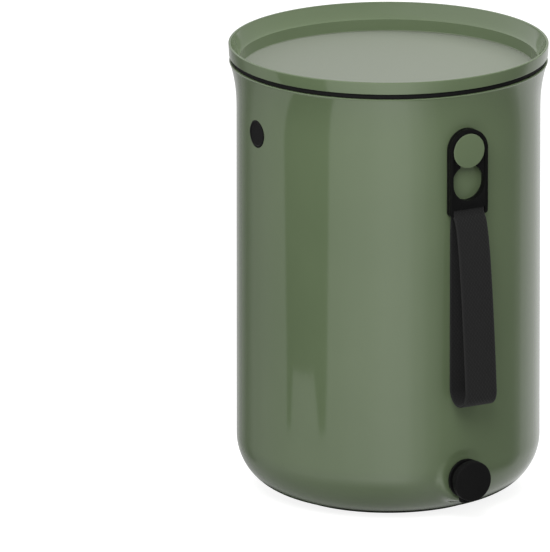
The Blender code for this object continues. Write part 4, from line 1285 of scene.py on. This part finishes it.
def webbing():
    points, length = even_line(webbing_corners(), ALONG_STEP)
    band = drawn("woven_strap", [(-WEBBING_WIDTH / 2, -out, BUTTON_Z + up) for out, up in points])
    rows = len(band.data.vertices)
    with editing(band):
        bpy.ops.mesh.select_all(action="SELECT")
        for _ in range(ACROSS_STEPS):
            stride = (WEBBING_WIDTH / ACROSS_STEPS, 0, 0)
            bpy.ops.mesh.extrude_region_move(TRANSFORM_OT_translate={"value": stride})
    uv = band.data.uv_layers.new(name="band")
    for loop in band.data.loops:
        spot = band.data.vertices[loop.vertex_index].co
        row = loop.vertex_index % rows
        uv.data[loop.index].uv = (spot.x + WEBBING_WIDTH / 2, length * row / (rows - 1))
    return band, length


band, band_length = webbing()
apply(band, "SOLIDIFY", thickness=WEBBING_THICKNESS, offset=0.0)
apply(band, "BEVEL", width=SELVEDGE_ROUND, segments=2, limit_method="ANGLE", angle_limit=math.radians(60))
print("webbing:", round(band_length * 1000), "mm")

# %% [markdown]
# ## Woven webbing
# Heavy webbing is a plain weave: fine yarns run its whole length, and each rises and dips over the cross
# yarns, out of step with its neighbours. The bump is that rule written down, a row of rounded columns
# with a wave along each. The same height also sets the colour: painted shade darkens the dips between
# the yarns, over a random tone. The woven edges are denser, and they carry a painted highlight for the
# extra light they catch, so they are a little paler.

# %% Weave the strap's finish
YARN = 0.00125
PICK = 0.0017
SELVEDGE = 0.0021
WEAVE_DEPTH = 0.00018
WAVE_SHARE = 0.4
FUZZ_DEPTH = 0.25
SHADE_LEAST = 0.35
PAINTED_SHADE_BY_HEIGHT = 0.45
SHADE_BY_FUZZ = 0.3
YARN_DARK = 0.005
YARN_PALE = 0.014
SELVEDGE_HIGHLIGHT = 0.02
SELVEDGE_HIGHLIGHT_SHARE = 0.5
YARN_ROUGHNESS = 0.86
WORN_GLOSS = 0.12


def weave_finish(paint):
    across, along, _ = paint.parts_of(paint.node("ShaderNodeUVMap", {"uv_map": "band"}))
    column = across / YARN
    rise = (column * math.pi).sine().absolute()
    wave = ((along / PICK + column.whole()) * math.pi).sine()
    height = rise * (1 - WAVE_SHARE + WAVE_SHARE * wave)
    # Painted highlight: the woven edges are painted paler for the light they catch.
    edge = (across - WEBBING_WIDTH / 2).absolute().ramp(WEBBING_WIDTH / 2 - SELVEDGE, WEBBING_WIDTH / 2)
    fuzz = paint.noise(paint.place(), scale=900.0, detail=3.0, roughness=0.6)
    # Painted shade: the colour darkens where the weave dips, over a random tone from the fuzz.
    painted_hollow_shade_and_tone = SHADE_LEAST + PAINTED_SHADE_BY_HEIGHT * height + SHADE_BY_FUZZ * fuzz
    woven = paint.mix(painted_hollow_shade_and_tone, grey(YARN_DARK), grey(YARN_PALE))
    return {
        "Base Color": paint.mix(edge * SELVEDGE_HIGHLIGHT_SHARE, woven, grey(SELVEDGE_HIGHLIGHT)),
        "Roughness": YARN_ROUGHNESS - WORN_GLOSS * height,
        "Normal": paint.bump(height + FUZZ_DEPTH * fuzz, WEAVE_DEPTH),
    }


woven_black = surface("woven_black", weave_finish, **{"Specular IOR Level": 0.2, "Sheen Weight": 0.05})
dress(band, "strap", woven_black, "webbing", "strap_webbing", angle=60)

# %% [markdown]
# ## Pieces that stay as packed
# Nut, washers, screws, gaskets, O-rings and the tap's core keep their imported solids, whose shape is
# right. They only get better finishes, through the material slots of their objects.

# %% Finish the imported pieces
KEPT_PIECES = {
    "tap_nut": black_plastic,
    "tap_plug": black_plastic,
    "tap_front_oring": rubber,
    "tap_inner_oring": rubber,
    "tap_outer_gasket": rubber,
    "tap_inner_gasket": rubber,
    "front_button_washer": steel,
    "rear_button_washer": steel,
    "front_button_screw": steel,
    "rear_button_screw": steel,
}
for node, material in KEPT_PIECES.items():
    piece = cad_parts[node]
    for slot in piece.material_slots:
        slot.material = material
print("packed pieces finished:", len(KEPT_PIECES))

# %% [markdown]
# ## Print both boxes
# The dressed bin has to fill the same box as the imported model, so both boxes are printed, one under the
# other.

# %% Print both boxes
seen_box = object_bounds()
boxes = {"cad": [list(corner) for corner in cad_box], "visual": [list(corner) for corner in seen_box]}
for name, box in boxes.items():
    print(name, [[round(x, 4) for x in corner] for corner in box])
